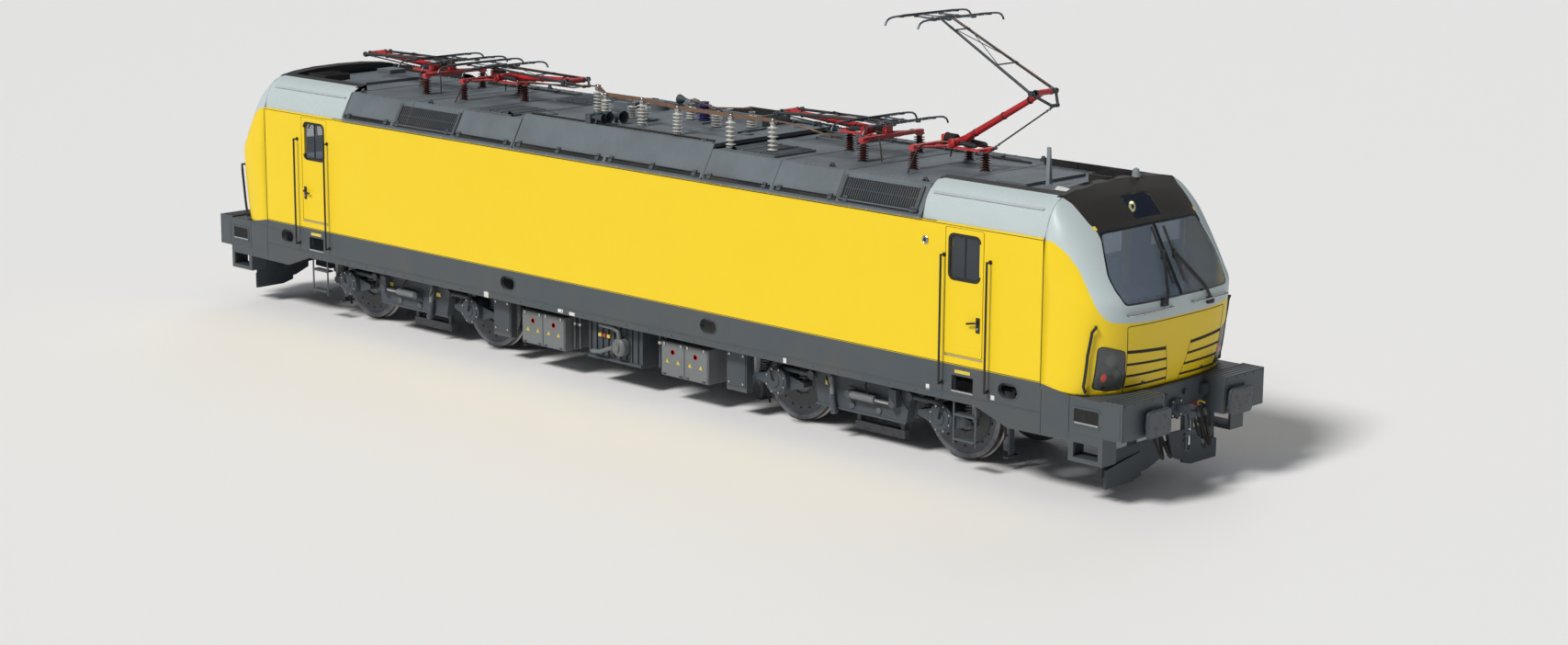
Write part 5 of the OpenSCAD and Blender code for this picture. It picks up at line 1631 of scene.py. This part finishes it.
class LOCO_OT_bogies(bpy.types.Operator):
    """Bogie frames, springs, axle boxes, motors, dampers, pipes and guards"""

    bl_idname = "loco.bogies"
    bl_label = "Bogies"

    def execute(self, context):
        for end, (body, turn) in zip(("front", "rear"), BOGIES):
            refined("bogie_frame_" + end, "gear", 0.01)
            refined("traction_motors_" + end, "iron", 0.02)
            refined("axle_boxes_" + end, "gear", 0.01)
            shift = turn @ Matrix.Translation((BOGIE_X, 0, LOW))
            bogies_springs(body, end, shift)
            bogies_fittings(body, end, shift)
        return {"FINISHED"}


class LOCO_OT_wheelsets(bpy.types.Operator):
    """Wheelsets: treads, flanges, discs with brake rings, and axles"""

    bl_idname = "loco.wheelsets"
    bl_label = "Wheelsets"

    def execute(self, context):
        for k, x in enumerate((-BOGIE_X - AXLE_DX, -BOGIE_X + AXLE_DX, BOGIE_X - AXLE_DX,
                BOGIE_X + AXLE_DX)):
            b = Build()
            at = (x, 0, AXLE_Z)
            tyre = [(0.56, 0.689), (0.6, 0.682), (0.6335, 0.682), (0.6455, 0.689), (0.6525, 0.697),
                (0.653, 0.703), (0.65, 0.711), (0.64, 0.716), (0.63, 0.722), (0.626, 0.735), (0.625, 0.755),
                (0.6235, 0.8), (0.622, 0.81), (0.616, 0.815), (0.555, 0.815), (0.545, 0.806)]
            disc = [(0.545, 0.806), (0.5, 0.79), (0.44, 0.772), (0.24, 0.772), (0.2, 0.8), (0.175, 0.815),
                (0.101, 0.815)]
            back = [(0.101, 0.684), (0.19, 0.684), (0.25, 0.712), (0.48, 0.716), (0.56, 0.689)]
            ring = [(0.25, 0.768), (0.256, 0.792), (0.262, 0.797), (0.425, 0.797), (0.432, 0.792),
                (0.436, 0.768)]
            for way in (-1, 1):
                axis = (0, way, 0)
                for profile, name in ((tyre[3:-3], "tread"), (tyre[:4], "wheel"), (tyre[-4:], "wheel"),
                        (disc, "wheel"), (back, "wheel"), (ring, "iron")):
                    b.lathe(profile, at, axis, name, 96, caps=False)
                for j in range(12):
                    t = tau * j / 12
                    p = Vector((x + 0.285 * cos(t), way * 0.796, AXLE_Z + 0.285 * sin(t)))
                    b.bolt(0.013, 0.01, p, axis, "iron", 6)
                # near-black discs on the wheel's web: painted shade standing for its holes
                for j in range(18):
                    t = tau * (j + 0.5) / 18
                    p = Vector((x + 0.47 * cos(t), way * 0.779, AXLE_Z + 0.47 * sin(t)))
                    b.lathe([(0.021, 0.004), (TIP, 0.006)], p, axis, "slot", 16)
                b.lathe([(0.175, 0.814), (0.168, 0.835), (0.12, 0.84), (0.1, 0.845), (0.0999, 1.19),
                    (0.092, 1.2), (TIP, 1.2)], at, axis, "wheel", 32)
            b.lathe([(0.138, -0.684), (0.138, -0.6), (0.1, -0.56), (0.1, 0.3), (0.14, 0.34), (0.14, 0.684)],
                at, ACROSS, "wheel", 32)
            b.make(f"wheelset_{k + 1}_finished", f"wheelset_{k + 1}", "wheel_steel", 0, 30,
                (f"wheelset_{k + 1}",))
        return {"FINISHED"}


# ------------------------------------------------------------------ roof gear

BUS_POINTS = [(-1.42, -0.29), (-0.695, -0.805), (0.055, -0.79), (1.015, -1.01), (2.075, -1.01),
    (2.822, -0.94)]
POSTS = [(-0.466, -0.5), (-0.276, -0.405), (1.013, -0.234), (0.21, 0.047), (1.411, 0.083)]
BUS_Z = 4.15 + LOW


def roof_at(x):
    return MIDDLE_ROOF if abs(x) < 1.98 else ROOF


def shed_profile(height, r, sheds):
    """Profile of a post insulator with drooping sheds."""
    core = r * 0.46
    out = [(r * 0.88, 0), (r * 0.9, 0.004), (r * 0.9, 0.016), (core, 0.026)]
    start, end = 0.036, height - 0.036
    pitch = (end - start) / sheds
    for k in range(sheds):
        z = start + pitch * k
        out += [(core, z + pitch * 0.1), (r * 0.97, z + pitch * 0.18), (r, z + pitch * 0.24),
            (r * 0.97, z + pitch * 0.3), (core * 1.1, z + pitch * 0.5), (core, z + pitch * 0.6)]
    return out + [(core, height - 0.03)]


def post(b, x, y, z, height, r, glaze, places=ONE, sheds=7):
    b.lathe(shed_profile(height, r, sheds), (x, y, z), UP, glaze, 28, places)
    b.lathe([(r * 0.62, height - 0.032), (r * 0.66, height - 0.026), (r * 0.66, height - 0.002),
        (r * 0.58, height)], (x, y, z), UP, "steel", 24, places)
    b.lathe([(r * 0.98, 0), (r * 1.0, 0.003), (r * 1.0, 0.012), (r * 0.9, 0.015)], (x, y, z), UP, "steel",
        24, places)
    for k in range(4):
        a = tau * (k + 0.5) / 4
        b.bolt(0.009, 0.018, (x + r * 0.84 * cos(a), y + r * 0.84 * sin(a), z), UP, "steel", 6, places)


def roof_gear_bars():
    b = Build()
    line = [Vector((x, y, BUS_Z + 0.019)) for x, y in BUS_POINTS]
    for p, q in zip(line, line[1:]):
        d = (q - p).normalized() * 0.03
        side = Vector((-d.y, d.x, 0)).normalized() * 0.008
        up = Vector((0, 0, 0.026))
        v = [e + w + h for e in (p - d, q + d) for w in (-side, side) for h in (-up, up)]
        b.add(v, BOX_FACES, "bus")
    for p in line:
        b.lathe([(0.03, -0.018), (0.03, 0.008), (0.024, 0.02), (0.01, 0.026), (TIP, 0.026)], p, UP, "steel",
            16)
        b.box(p - Vector((0.045, 0.012, 0.01)), p + Vector((0.045, 0.012, 0.024)), "bus")
    p = line[-1]
    b.tube([p, p + Vector((0.35, -0.03, -0.005)), p + Vector((0.7, -0.02, -0.04)),
        p + Vector((0.98, 0.1, -0.12)), p + Vector((1.0, 0.3, -0.16))], 0.012, "bus", 8)
    q = line[0]
    b.tube([q, q + Vector((-0.35, 0.06, -0.03)), q + Vector((-0.65, 0.1, -0.095)),
        q + Vector((-1.2, 0.12, -0.102)), q + Vector((-1.6, 0.13, -0.11)),
        q + Vector((-1.92, 0.15, -0.135)), q + Vector((-1.982, 0.16, -0.15))], 0.012, "bus", 8)
    b.make("busbars_finished", "carbody", "busbar_brown", 0, 45, ("roof_busbars",))


def roof_gear_switchgear():
    """Breaker, disconnector blades, arrester, bushings, horns and cable runs on the middle hood."""
    b = Build()
    z = MIDDLE_ROOF
    b.lathe([(0.108, 0), (0.108, 0.02), (0.066, 0.03)] + [q for k in range(6)
        for q in ((0.066, 0.035 + 0.04 * k), (0.108, 0.043 + 0.04 * k), (0.106, 0.049 + 0.04 * k),
        (0.068, 0.062 + 0.04 * k))] + [(0.062, 0.278), (0.07, 0.282), (0.07, 0.298), (0.036, 0.3),
        (TIP, 0.3)], (0.407, 0.126, z), UP, "blue", 32)
    b.make("arrester", "carbody", "switch_blue", 0, 50, ("roof_switchgear",))
    b = Build()
    top = z + 0.275
    b.box((0.21 - 0.1, 0.047 - 0.06, z), (0.21 + 0.1, 0.047 + 0.06, z + 0.012), "roof")
    blades = [((-0.466, -0.5), (-0.276, -0.405)), ((1.013, -0.234), (0.21, 0.047)),
        ((1.411, 0.083), (1.013, -0.234))]
    for (x0, y0), (x1, y1) in blades:
        a, c = Vector((x0, y0, top)), Vector((x1, y1, top))
        b.tube([a, a + Vector((0, 0, 0.03)), c + Vector((0, 0, 0.03)), c], 0.011, "bus", 8)
    for (x, y), (u, v) in (((-0.695, -0.805), (-0.466, -0.5)), ((0.055, -0.79), (-0.276, -0.405)),
            ((1.015, -1.01), (1.013, -0.234))):
        a, c = Vector((x, y, BUS_Z + 0.02)), Vector((u, v, top))
        mid = (a + c) / 2 - Vector((0, 0, 0.03))
        b.tube([a, (a + mid) / 2 + Vector((0, 0, 0.004)), mid, (mid + c) / 2 - Vector((0, 0, 0.002)), c],
            0.01, "bus", 8)
    b.boxes("roof", ONE, (-0.6, -0.62, z, -0.14, -0.28, z + 0.03), (0.86, -0.36, z, 1.56, 0.22, z + 0.03),
        (0.1, -0.1, z, 0.58, 0.26, z + 0.025), (0.55, 0.36, z, 1.35, 0.95, z + 0.16))
    # near-black bars on the box's top: painted shade standing for its vent openings
    for k in range(14):
        b.box((0.6 + 0.052 * k, 0.42, z + 0.16), (0.62 + 0.052 * k, 0.9, z + 0.172), "slot")
    b.lathe([(0.16, 0), (0.16, 0.1), (0.13, 0.13), (TIP, 0.135)], (-1.0, 0.55, z), UP, "roof", 32)
    b.lathe([(0.12, 0), (0.12, 0.18), (0.1, 0.2), (TIP, 0.205)], (-0.35, 0.62, z), UP, "case", 28)
    b.box((-1.62, 0.2, z), (-1.28, 0.8, z + 0.09), "roof")
    for y, dy, size in ((-0.86, -0.1, 1.0), (-1.04, -0.22, 0.85), (-1.2, 0.06, 0.7)):
        way = Vector((1, dy, 0.02)).normalized()
        at = Vector((-0.62, y, z + 0.1))
        b.box(at - Vector((0.05, 0.045, 0.1)), at + Vector((0.06, 0.045, 0.045)), "gear")
        b.lathe([(0.048 * size, -0.06), (0.052 * size, 0.0), (0.026, 0.02), (0.024, 0.1 * size),
            (0.03, 0.2 * size), (0.046, 0.3 * size), (0.075 * size, 0.385 * size),
            (0.092 * size, 0.41 * size), (0.086 * size, 0.4 * size), (0.04, 0.29 * size),
            (0.02, 0.2 * size), (TIP, 0.19 * size)], at, way, "gear", 28)
        b.box(at + way * 0.22 * size - Vector((0.012, 0.03, 0.1)), at + way * 0.22 * size + Vector((0.012,
            0.03, 0.0)), "gear")
    b.lathe([(0.045, -0.06), (0.052, 0), (0.026, 0.02), (0.024, 0.1), (0.03, 0.2), (0.075, 0.35),
        (0.07, 0.34), (TIP, 0.2)], (-0.72, 1.02, z + 0.1), (-1, 0.1, 0), "gear", 28)
    for y0, y1 in ((0.98, 1.02), (-1.18, -1.15)):
        b.tube([(-1.9, y0, z + 0.02), (-0.6, y0, z + 0.02), (0.5, y1, z + 0.02), (1.9, y1, z + 0.02)],
            0.014, "rubber", 8)
    for s in (1, -1):
        b.tube([(s * 1.9, 0.98, z + 0.02), (s * 2.02, 0.98, z - 0.02), (s * 2.1, 0.98, ROOF + 0.02),
            (s * 4.6, 1.0, ROOF + 0.02), (s * 5.2, 0.9, ROOF + 0.02), (s * 5.9, 0.9, ROOF + 0.02)], 0.014,
            "rubber", 8)
        b.tube([(s * 2.06, 1.05, ROOF + 0.016), (s * 4.0, 1.06, ROOF + 0.016),
            (s * 5.6, 1.05, ROOF + 0.016)], 0.01, "steel", 8)
    for x in np.arange(-1.8, 1.9, 0.4):
        b.box((x - 0.012, 0.955, z), (x + 0.012, 1.045, z + 0.04), "frame")
    for x in np.arange(2.3, 5.7, 0.5):
        b.box((x - 0.012, 0.965, ROOF), (x + 0.012, 1.075, ROOF + 0.04), "frame", [ONE[0], MIRROR_X])
    for x, y in ((1.7, -0.3), (-1.1, -0.2), (-1.72, -0.95), (1.72, 0.75)):
        b.lathe([(0.085, 0), (0.085, 0.018), (0.078, 0.022), (TIP, 0.024)], (x, y, z), UP, "roof", 28)
        b.box((x - 0.06, y - 0.008, z + 0.022), (x + 0.06, y + 0.008, z + 0.034), "frame")
    b.make("switchgear_details", "carbody", "roof_grey", 0.0015, 40)


class LOCO_OT_roof_gear(bpy.types.Operator):
    """Insulators, busbars, breaker, arrester, horns, cables and antennas"""

    bl_idname = "loco.roof_gear"
    bl_label = "Roof gear"

    def execute(self, context):
        b = Build()
        for x, y in BUS_POINTS:
            z = roof_at(x)
            post(b, x, y, z + 0.0005, BUS_Z - z - 0.0005, 0.078, "cream", sheds=6)
        for x, y in POSTS:
            z = roof_at(x)
            post(b, x, y, z + 0.0005, 0.26, 0.078, "cream", sheds=5)
        b.make("roof_insulators_finished", "carbody", "insulator_white", 0, 50, ("roof_insulators",))
        roof_gear_bars()
        roof_gear_switchgear()
        refined("roof_antennas", "antenna", 0.012)
        return {"FINISHED"}


# ------------------------------------------------------------------ pantographs

PIVOT_Z = 4.062 + LOW
SITES = [(-5.41, -1, 3), (-3.84, 1, 3), (3.84, -1, 3), (5.41, 1, 30)]
LOWER, UPPER = 1.6, 1.9
FOOT = Vector((0.52, 0, PIVOT_Z - 0.06))
FRAME_Z = 3.99 + LOW


def pantographs_base(b, place):
    """Lift bellows, bearing caps, cable, stops and feet on the base frame."""
    p = [place]
    z = FRAME_Z
    for px, py in ((-0.33, -0.575), (-0.33, 0.575), (0.44, 0.0)):
        b.lathe([(0.075, 0), (0.075, 0.012), (0.06, 0.016)], (px, py, z - 0.014), UP, "arms", 24, p)
    for s in (1, -1):
        b.lathe([(0.06, -0.012), (0.06, 0.012), (0.05, 0.018), (TIP, 0.018)], (0, s * 0.195, PIVOT_Z),
            (0, s, 0), "arms", 28, p)
        b.rod((-0.33, s * 0.62, z + 0.025), (-0.1, s * 0.19, z + 0.02), 0.016, "arms", 12, p)
        b.tube([(-0.33, s * 0.14, z + 0.03), (-0.26, s * 0.1, z + 0.055), (-0.1, s * 0.08, z + 0.06)],
            0.012, "bus", 8, p)
    for k in range(5):
        b.lathe([(0.062, 0), (0.078, 0.012), (0.078, 0.02), (0.062, 0.032)],
            (-0.235 + 0.034 * k, 0, z + 0.09), AHEAD, "rubber", 24, p)
    b.bolt(0.085, 0.014, (-0.25, 0, z + 0.09), AHEAD, "arms", 24, p)
    b.boxes("arms", p, (-0.29, -0.07, z + 0.01, -0.255, 0.07, z + 0.15),
        (-0.052, -0.035, z + 0.045, -0.048, 0.035, z + 0.12))
    for s in (1, -1):
        b.rod((0.1, s * 0.11, z + 0.075), (0.36, s * 0.11, z + 0.055), 0.022, "dark_arm", 12, p)
        for k in range(12):
            x = 0.11 + 0.02 * k
            b.lathe([(0.03, -0.004), (0.034, 0), (0.03, 0.004)], (x, s * 0.11, z + 0.0745 - 0.0015 * k),
                (1, 0, -0.07), "coil", 14, p)
    for y0, x1, y1 in ((0.3, -0.62, 0.52), (-0.3, -0.1, -0.95)):
        hang = [Vector((-0.33 + (x1 + 0.33) * t, y0 + (y1 - y0) * t,
            z + 0.02 + (ROOF - z) * t ** 2 + 0.06 * sin(pi * t))) for t in np.linspace(0, 1, 15)]
        b.tube(hang, 0.01, "rubber", 8, p)
    for x in (-0.33, 0.44):
        b.box((x - 0.045, -0.16, z - 0.004), (x + 0.045, 0.16, z + 0.008), "arms", p)


def pantographs_lower(k, place, elbow):
    b = Build()
    p = [place]
    foot = Vector((0, 0, PIVOT_Z))
    way = (elbow - foot).normalized()
    up = Vector((-way.z, 0, way.x))
    b.lathe([(0.04, 0.0), (0.05, 0.1), (0.048, 0.4), (0.04, LOWER - 0.1), (0.036, LOWER)], foot, way,
        "arms", 28, p)
    b.rod((0, -0.142, PIVOT_Z), (0, 0.142, PIVOT_Z), 0.055, "arms", 32, p, 0.006)
    b.rod((0, -0.205, PIVOT_Z), (0, 0.205, PIVOT_Z), 0.018, "steel", 20, p, 0.003)
    for s in (1, -1):
        b.plate([(0.0, -0.055), (0.26, -0.02), (0.26, 0.02), (0.0, 0.055)], 0.01,
            Matrix.Translation(foot + Vector((0, s * 0.06, 0))) @ Matrix(((way.x, up.x, 0, 0),
            (0, 0, 1, -0.005), (way.z, up.z, 0, 0), (0, 0, 0, 1))), "arms", p)
    b.rod(elbow + Vector((0, -0.17, 0)), elbow + Vector((0, 0.17, 0)), 0.04, "arms", 28, p, 0.005)
    for s in (1, -1):
        b.roller(0.046, 0.012, elbow + Vector((0, s * 0.158, 0)), ACROSS, "dark_arm", 28, p)
    for d in (0.3, 0.85, 1.35):
        b.lathe([(0.052, -0.01), (0.054, 0), (0.052, 0.01)], foot + way * d, way, "rubber", 24, p)
    pts = [foot + way * (0.14 + 1.3 * j / 12) - up * 0.012 + Vector((0, 0.064 - 0.006 * abs(j / 6 - 1), 0))
        for j in range(13)]
    b.tube(pts, 0.009, "rubber", 8, p)
    b.make(f"lower_arm_{k}_finished", f"lower_arm_{k}", "panto_red", 0, 35, (f"lower_arm_{k}",))


def pantographs_rod(k, place, hook):
    b = Build()
    p = [place]
    way = (hook - FOOT).normalized()
    b.rod(FOOT + way * 0.02, hook - way * 0.02, 0.011, "dark_arm", 14, p)
    for at in (FOOT, hook):
        b.lathe([(0.0122, -0.015), (0.022, -0.015), (0.022, 0.015), (0.0122, 0.015), (0.0122, -0.015)], at,
            ACROSS, "dark_arm", 24, p)
    for d in (0.1, 0.16):
        for at, s in ((FOOT, 1), (hook, -1)):
            b.roller(0.018, 0.01, at + way * d * s, way, "steel", 6, p)
    b.make(f"thrust_rod_{k}_finished", f"thrust_rod_{k}", "arm_grey", 0, 35, (f"thrust_rod_{k}",))


def pantographs_upper(k, place, elbow, head, hook):
    b = Build()
    p = [place]
    b.rod(elbow + Vector((0, -0.27, 0)), elbow + Vector((0, 0.27, 0)), 0.018, "steel", 20, p, 0.003)
    way = (head - elbow).normalized()
    for s in (1, -1):
        foot = elbow + Vector((0, s * 0.256, 0))
        top = head + Vector((0, s * 0.11, 0))
        d = top - foot
        b.lathe([(0.02, 0), (0.02, 0.3), (0.016, d.length - 0.02), (0.014, d.length)], foot, d, "dark_arm",
            18, p)
        b.lathe([(0.038, -0.022), (0.04, 0), (0.038, 0.02), (0.022, 0.022)], foot, (0, s, 0), "dark_arm",
            24, p)
        h = hook + Vector((0, s * 0.06, 0))
        b.rod(foot, h, 0.02, "dark_arm", 16, p)
        b.rod(hook + Vector((0, s * 0.022, 0)), hook + Vector((0, s * 0.075, 0)), 0.026, "dark_arm", 20, p,
            0.003)
    b.rod(head + Vector((0, -0.13, 0)), head + Vector((0, 0.13, 0)), 0.028, "dark_arm", 24, p, 0.003)
    d = head - elbow

    above = Vector((way.z, 0, -way.x)) * 0.022

    def at(t, s):
        return elbow + d * t + above + Vector((0, s * (0.256 - 0.146 * t), 0))

    for t in (0.36, 0.82):
        b.rod(at(t, -1), at(t, 1), 0.01, "dark_arm", 10, p)
    for s in (1, -1):
        b.rod(at(0.36, s), at(0.82, -s), 0.006, "dark_arm", 8, p)
    b.tube([at(0.05 + 0.9 * j / 12, 0.88) for j in range(13)], 0.007, "bus", 8, p)
    b.make(f"upper_arm_{k}_finished", f"upper_arm_{k}", "arm_grey", 0, 35, (f"upper_arm_{k}",))


def pantographs_head(k, place, head):
    b = Build()
    p = [place]
    b.rod(head + Vector((0, -0.26, 0)), head + Vector((0, 0.26, 0)), 0.0138, "steel", 18, p)
    for s in (1, -1):
        v = [(-0.287, 0.004), (-0.12, -0.012), (0.12, -0.012), (0.287, 0.004), (0.287, 0.02), (0.06, 0.012),
            (-0.06, 0.012), (-0.287, 0.02)]
        b.plate(v, 0.02, Matrix.Translation(head) @ Matrix(((1, 0, 0, 0), (0, 0, -1, s * 0.251 + 0.01),
            (0, 1, 0, 0), (0, 0, 0, 1))), "head", p)
        b.roller(0.024, 0.014, head + Vector((0, s * 0.251, 0)), ACROSS, "dark_arm", 20, p)
    for e in (-1, 1):
        x = e * 0.287
        b.box(head + Vector((x - 0.022, -0.6, 0.018)), head + Vector((x + 0.022, 0.6, 0.034)), "head", p)
        b.box(head + Vector((x - 0.018, -0.52, 0.034)), head + Vector((x + 0.018, 0.52, 0.05)), "black", p)
        for s in (1, -1):
            line = [(0.52, 0.034), (0.6, 0.035), (0.7, 0.031), (0.78, 0.02), (0.83, -0.002), (0.86, -0.034),
                (0.876, -0.07)]
            b.tube([head + Vector((x, s * y, z)) for y, z in line], 0.014, "head", 12, p)
            b.box(head + Vector((x - 0.026, s * 0.56 - 0.03, 0.014)),
                head + Vector((x + 0.026, s * 0.56 + 0.03, 0.036)), "dark_arm", p)
            b.box(head + Vector((x - 0.02, s * 0.251 - 0.03, -0.004)),
                head + Vector((x + 0.02, s * 0.251 + 0.03, 0.02)), "dark_arm", p)
        for y in np.linspace(-0.45, 0.45, 7):
            b.box(head + Vector((x - 0.0225, y - 0.006, 0.02)), head + Vector((x + 0.0225, y + 0.006,
                0.04)), "steel", p)
    for y in (-0.16, 0.16):
        b.rod(head + Vector((-0.28, y, 0.024)), head + Vector((0.28, y, 0.024)), 0.008, "head", 10, p)
    b.make(f"pan_head_{k}_finished", f"pan_head_{k}", "head_grey", 0.001, 35, (f"pan_head_{k}",))


class LOCO_OT_pantographs(bpy.types.Operator):
    """Pantographs: base frames, insulators, arms, springs, bellows and contact strips"""

    bl_idname = "loco.pantographs"
    bl_label = "Pantographs"

    def execute(self, context):
        refined("pantograph_frames", "arms", 0.004)
        posts, base = Build(), Build()
        for k, (x, way, angle) in enumerate(SITES):
            place = Matrix.Translation((x, 0, 0)) @ (ONE[0] if way > 0 else HALF_TURN)
            for px, py in ((-0.33, -0.575), (-0.33, 0.575), (0.44, 0.0)):
                post(posts, px, py, ROOF + 0.0005, FRAME_Z - ROOF - 0.001, 0.082, "brown", [place], 6)
            pantographs_base(base, place)
            a, u = radians(angle), radians(1.5 + 0.915 * (angle - 3))
            elbow = Vector((LOWER * cos(a), 0, PIVOT_Z + LOWER * sin(a)))
            head = elbow + Vector((-UPPER * cos(u), 0, UPPER * sin(u)))
            hook = elbow + Vector((0.25 * cos(u + radians(12)), 0, -0.25 * sin(u + radians(12))))
            pantographs_lower(k + 1, place, elbow)
            pantographs_rod(k + 1, place, hook)
            pantographs_upper(k + 1, place, elbow, head, hook)
            pantographs_head(k + 1, place, head)
        posts.make("pantograph_insulators_finished", "carbody", "insulator_brown", 0, 50,
            ("pantograph_insulators",))
        base.make("pantograph_bases", "carbody", "panto_red", 0.0015, 40)
        return {"FINISHED"}


# ------------------------------------------------------------------ stage


EYE = (30.56, -29.7, 9.96 + LOW)
AIM = (133.72, -12.19, 0.41)     # the camera's yaw, pitch and roll, in degrees
LENS = 67.29
FLOOR = 300                      # how far the floor reaches to each side


def stage_light(name, kind, place, power, colour, angle):
    lamp_data = bpy.data.lights.new(name, kind)
    lamp_data.energy = power
    lamp_data.color = colour
    lamp_data.angle = angle
    o = bpy.data.objects.new(name, lamp_data)
    o.location = place
    o.rotation_euler = (-Vector(place)).to_track_quat("-Z", "Y").to_euler()
    bpy.context.scene.collection.objects.link(o)


class LOCO_OT_stage(bpy.types.Operator):
    """Pale floor, soft studio light and the camera"""

    bl_idname = "loco.stage"
    bl_label = "Stage"

    def execute(self, context):
        scene = context.scene
        mesh = bpy.data.meshes.new("studio_floor")
        mesh.from_pydata([(x * FLOOR, y * FLOOR, 0) for x, y in ((-1, -1), (1, -1), (1, 1), (-1, 1))], [],
            [(0, 1, 2, 3)])
        mesh.materials.append(mat("floor"))
        floor = bpy.data.objects.new("studio_floor", mesh)
        scene.collection.objects.link(floor)
        stage_light("key", "SUN", (-3, -24, 26), 2.68, (1.0, 0.98, 0.95), radians(14))
        stage_light("rim", "SUN", (-14, 22, 18), 0.3, (0.95, 0.97, 1.0), radians(30))
        world = bpy.data.worlds.new("studio")
        world.use_nodes = True
        world.node_tree.nodes["Background"].inputs["Color"].default_value = (0.9, 0.94, 1.0, 1)
        world.node_tree.nodes["Background"].inputs["Strength"].default_value = 0.2
        scene.world = world
        scene.view_settings.view_transform = "Standard"
        camera = bpy.data.cameras.new("camera")
        camera.lens = LENS
        camera.sensor_width = 36
        camera.sensor_fit = "HORIZONTAL"
        camera.clip_end = 1000
        camera.dof.use_dof = False
        yaw, pitch, roll = map(radians, AIM)
        forward = Vector((cos(pitch) * cos(yaw), cos(pitch) * sin(yaw), sin(pitch)))
        right = Vector((sin(yaw), -cos(yaw), 0))
        up = right.cross(forward)
        x = right * cos(roll) + up * sin(roll)
        y = up * cos(roll) - right * sin(roll)
        eye = bpy.data.objects.new("camera", camera)
        eye.matrix_world = Matrix.Translation(EYE) @ Matrix((x, y, -forward)).transposed().to_4x4()
        scene.collection.objects.link(eye)
        scene.camera = eye
        return {"FINISHED"}


# ------------------------------------------------------------------ panel and registration


class LOCO_PT_panel(bpy.types.Panel):
    """Lists the locomotive's settings and parts"""

    bl_idname = "LOCO_PT_panel"
    bl_label = "Locomotive"
    bl_space_type = "VIEW_3D"
    bl_region_type = "UI"
    bl_category = "Locomotive"

    def draw(self, context):
        for group in (context.scene.loco_colours, context.scene.loco_sizes):
            for key in group.__annotations__:
                self.layout.prop(group, key)
        for step in STEPS:
            self.layout.operator(step.bl_idname)


STEPS = (LOCO_OT_noses, LOCO_OT_cab_roofs, LOCO_OT_walls, LOCO_OT_underframe, LOCO_OT_ends, LOCO_OT_doors,
    LOCO_OT_interior, LOCO_OT_bogies, LOCO_OT_wheelsets, LOCO_OT_roof_gear, LOCO_OT_pantographs,
    LOCO_OT_stage)
CLASSES = (LocoColours, LocoSizes) + STEPS + (LOCO_PT_panel,)


def register():
    for c in CLASSES:
        bpy.utils.register_class(c)
    bpy.types.Scene.loco_colours = PointerProperty(type=LocoColours)
    bpy.types.Scene.loco_sizes = PointerProperty(type=LocoSizes)


def unregister():
    del bpy.types.Scene.loco_sizes
    del bpy.types.Scene.loco_colours
    for c in reversed(CLASSES):
        bpy.utils.unregister_class(c)


def main():
    register()
    for step in STEPS:
        group, name = step.bl_idname.split(".")
        getattr(getattr(bpy.ops, group), name)()


if __name__ == "__main__":
    main()
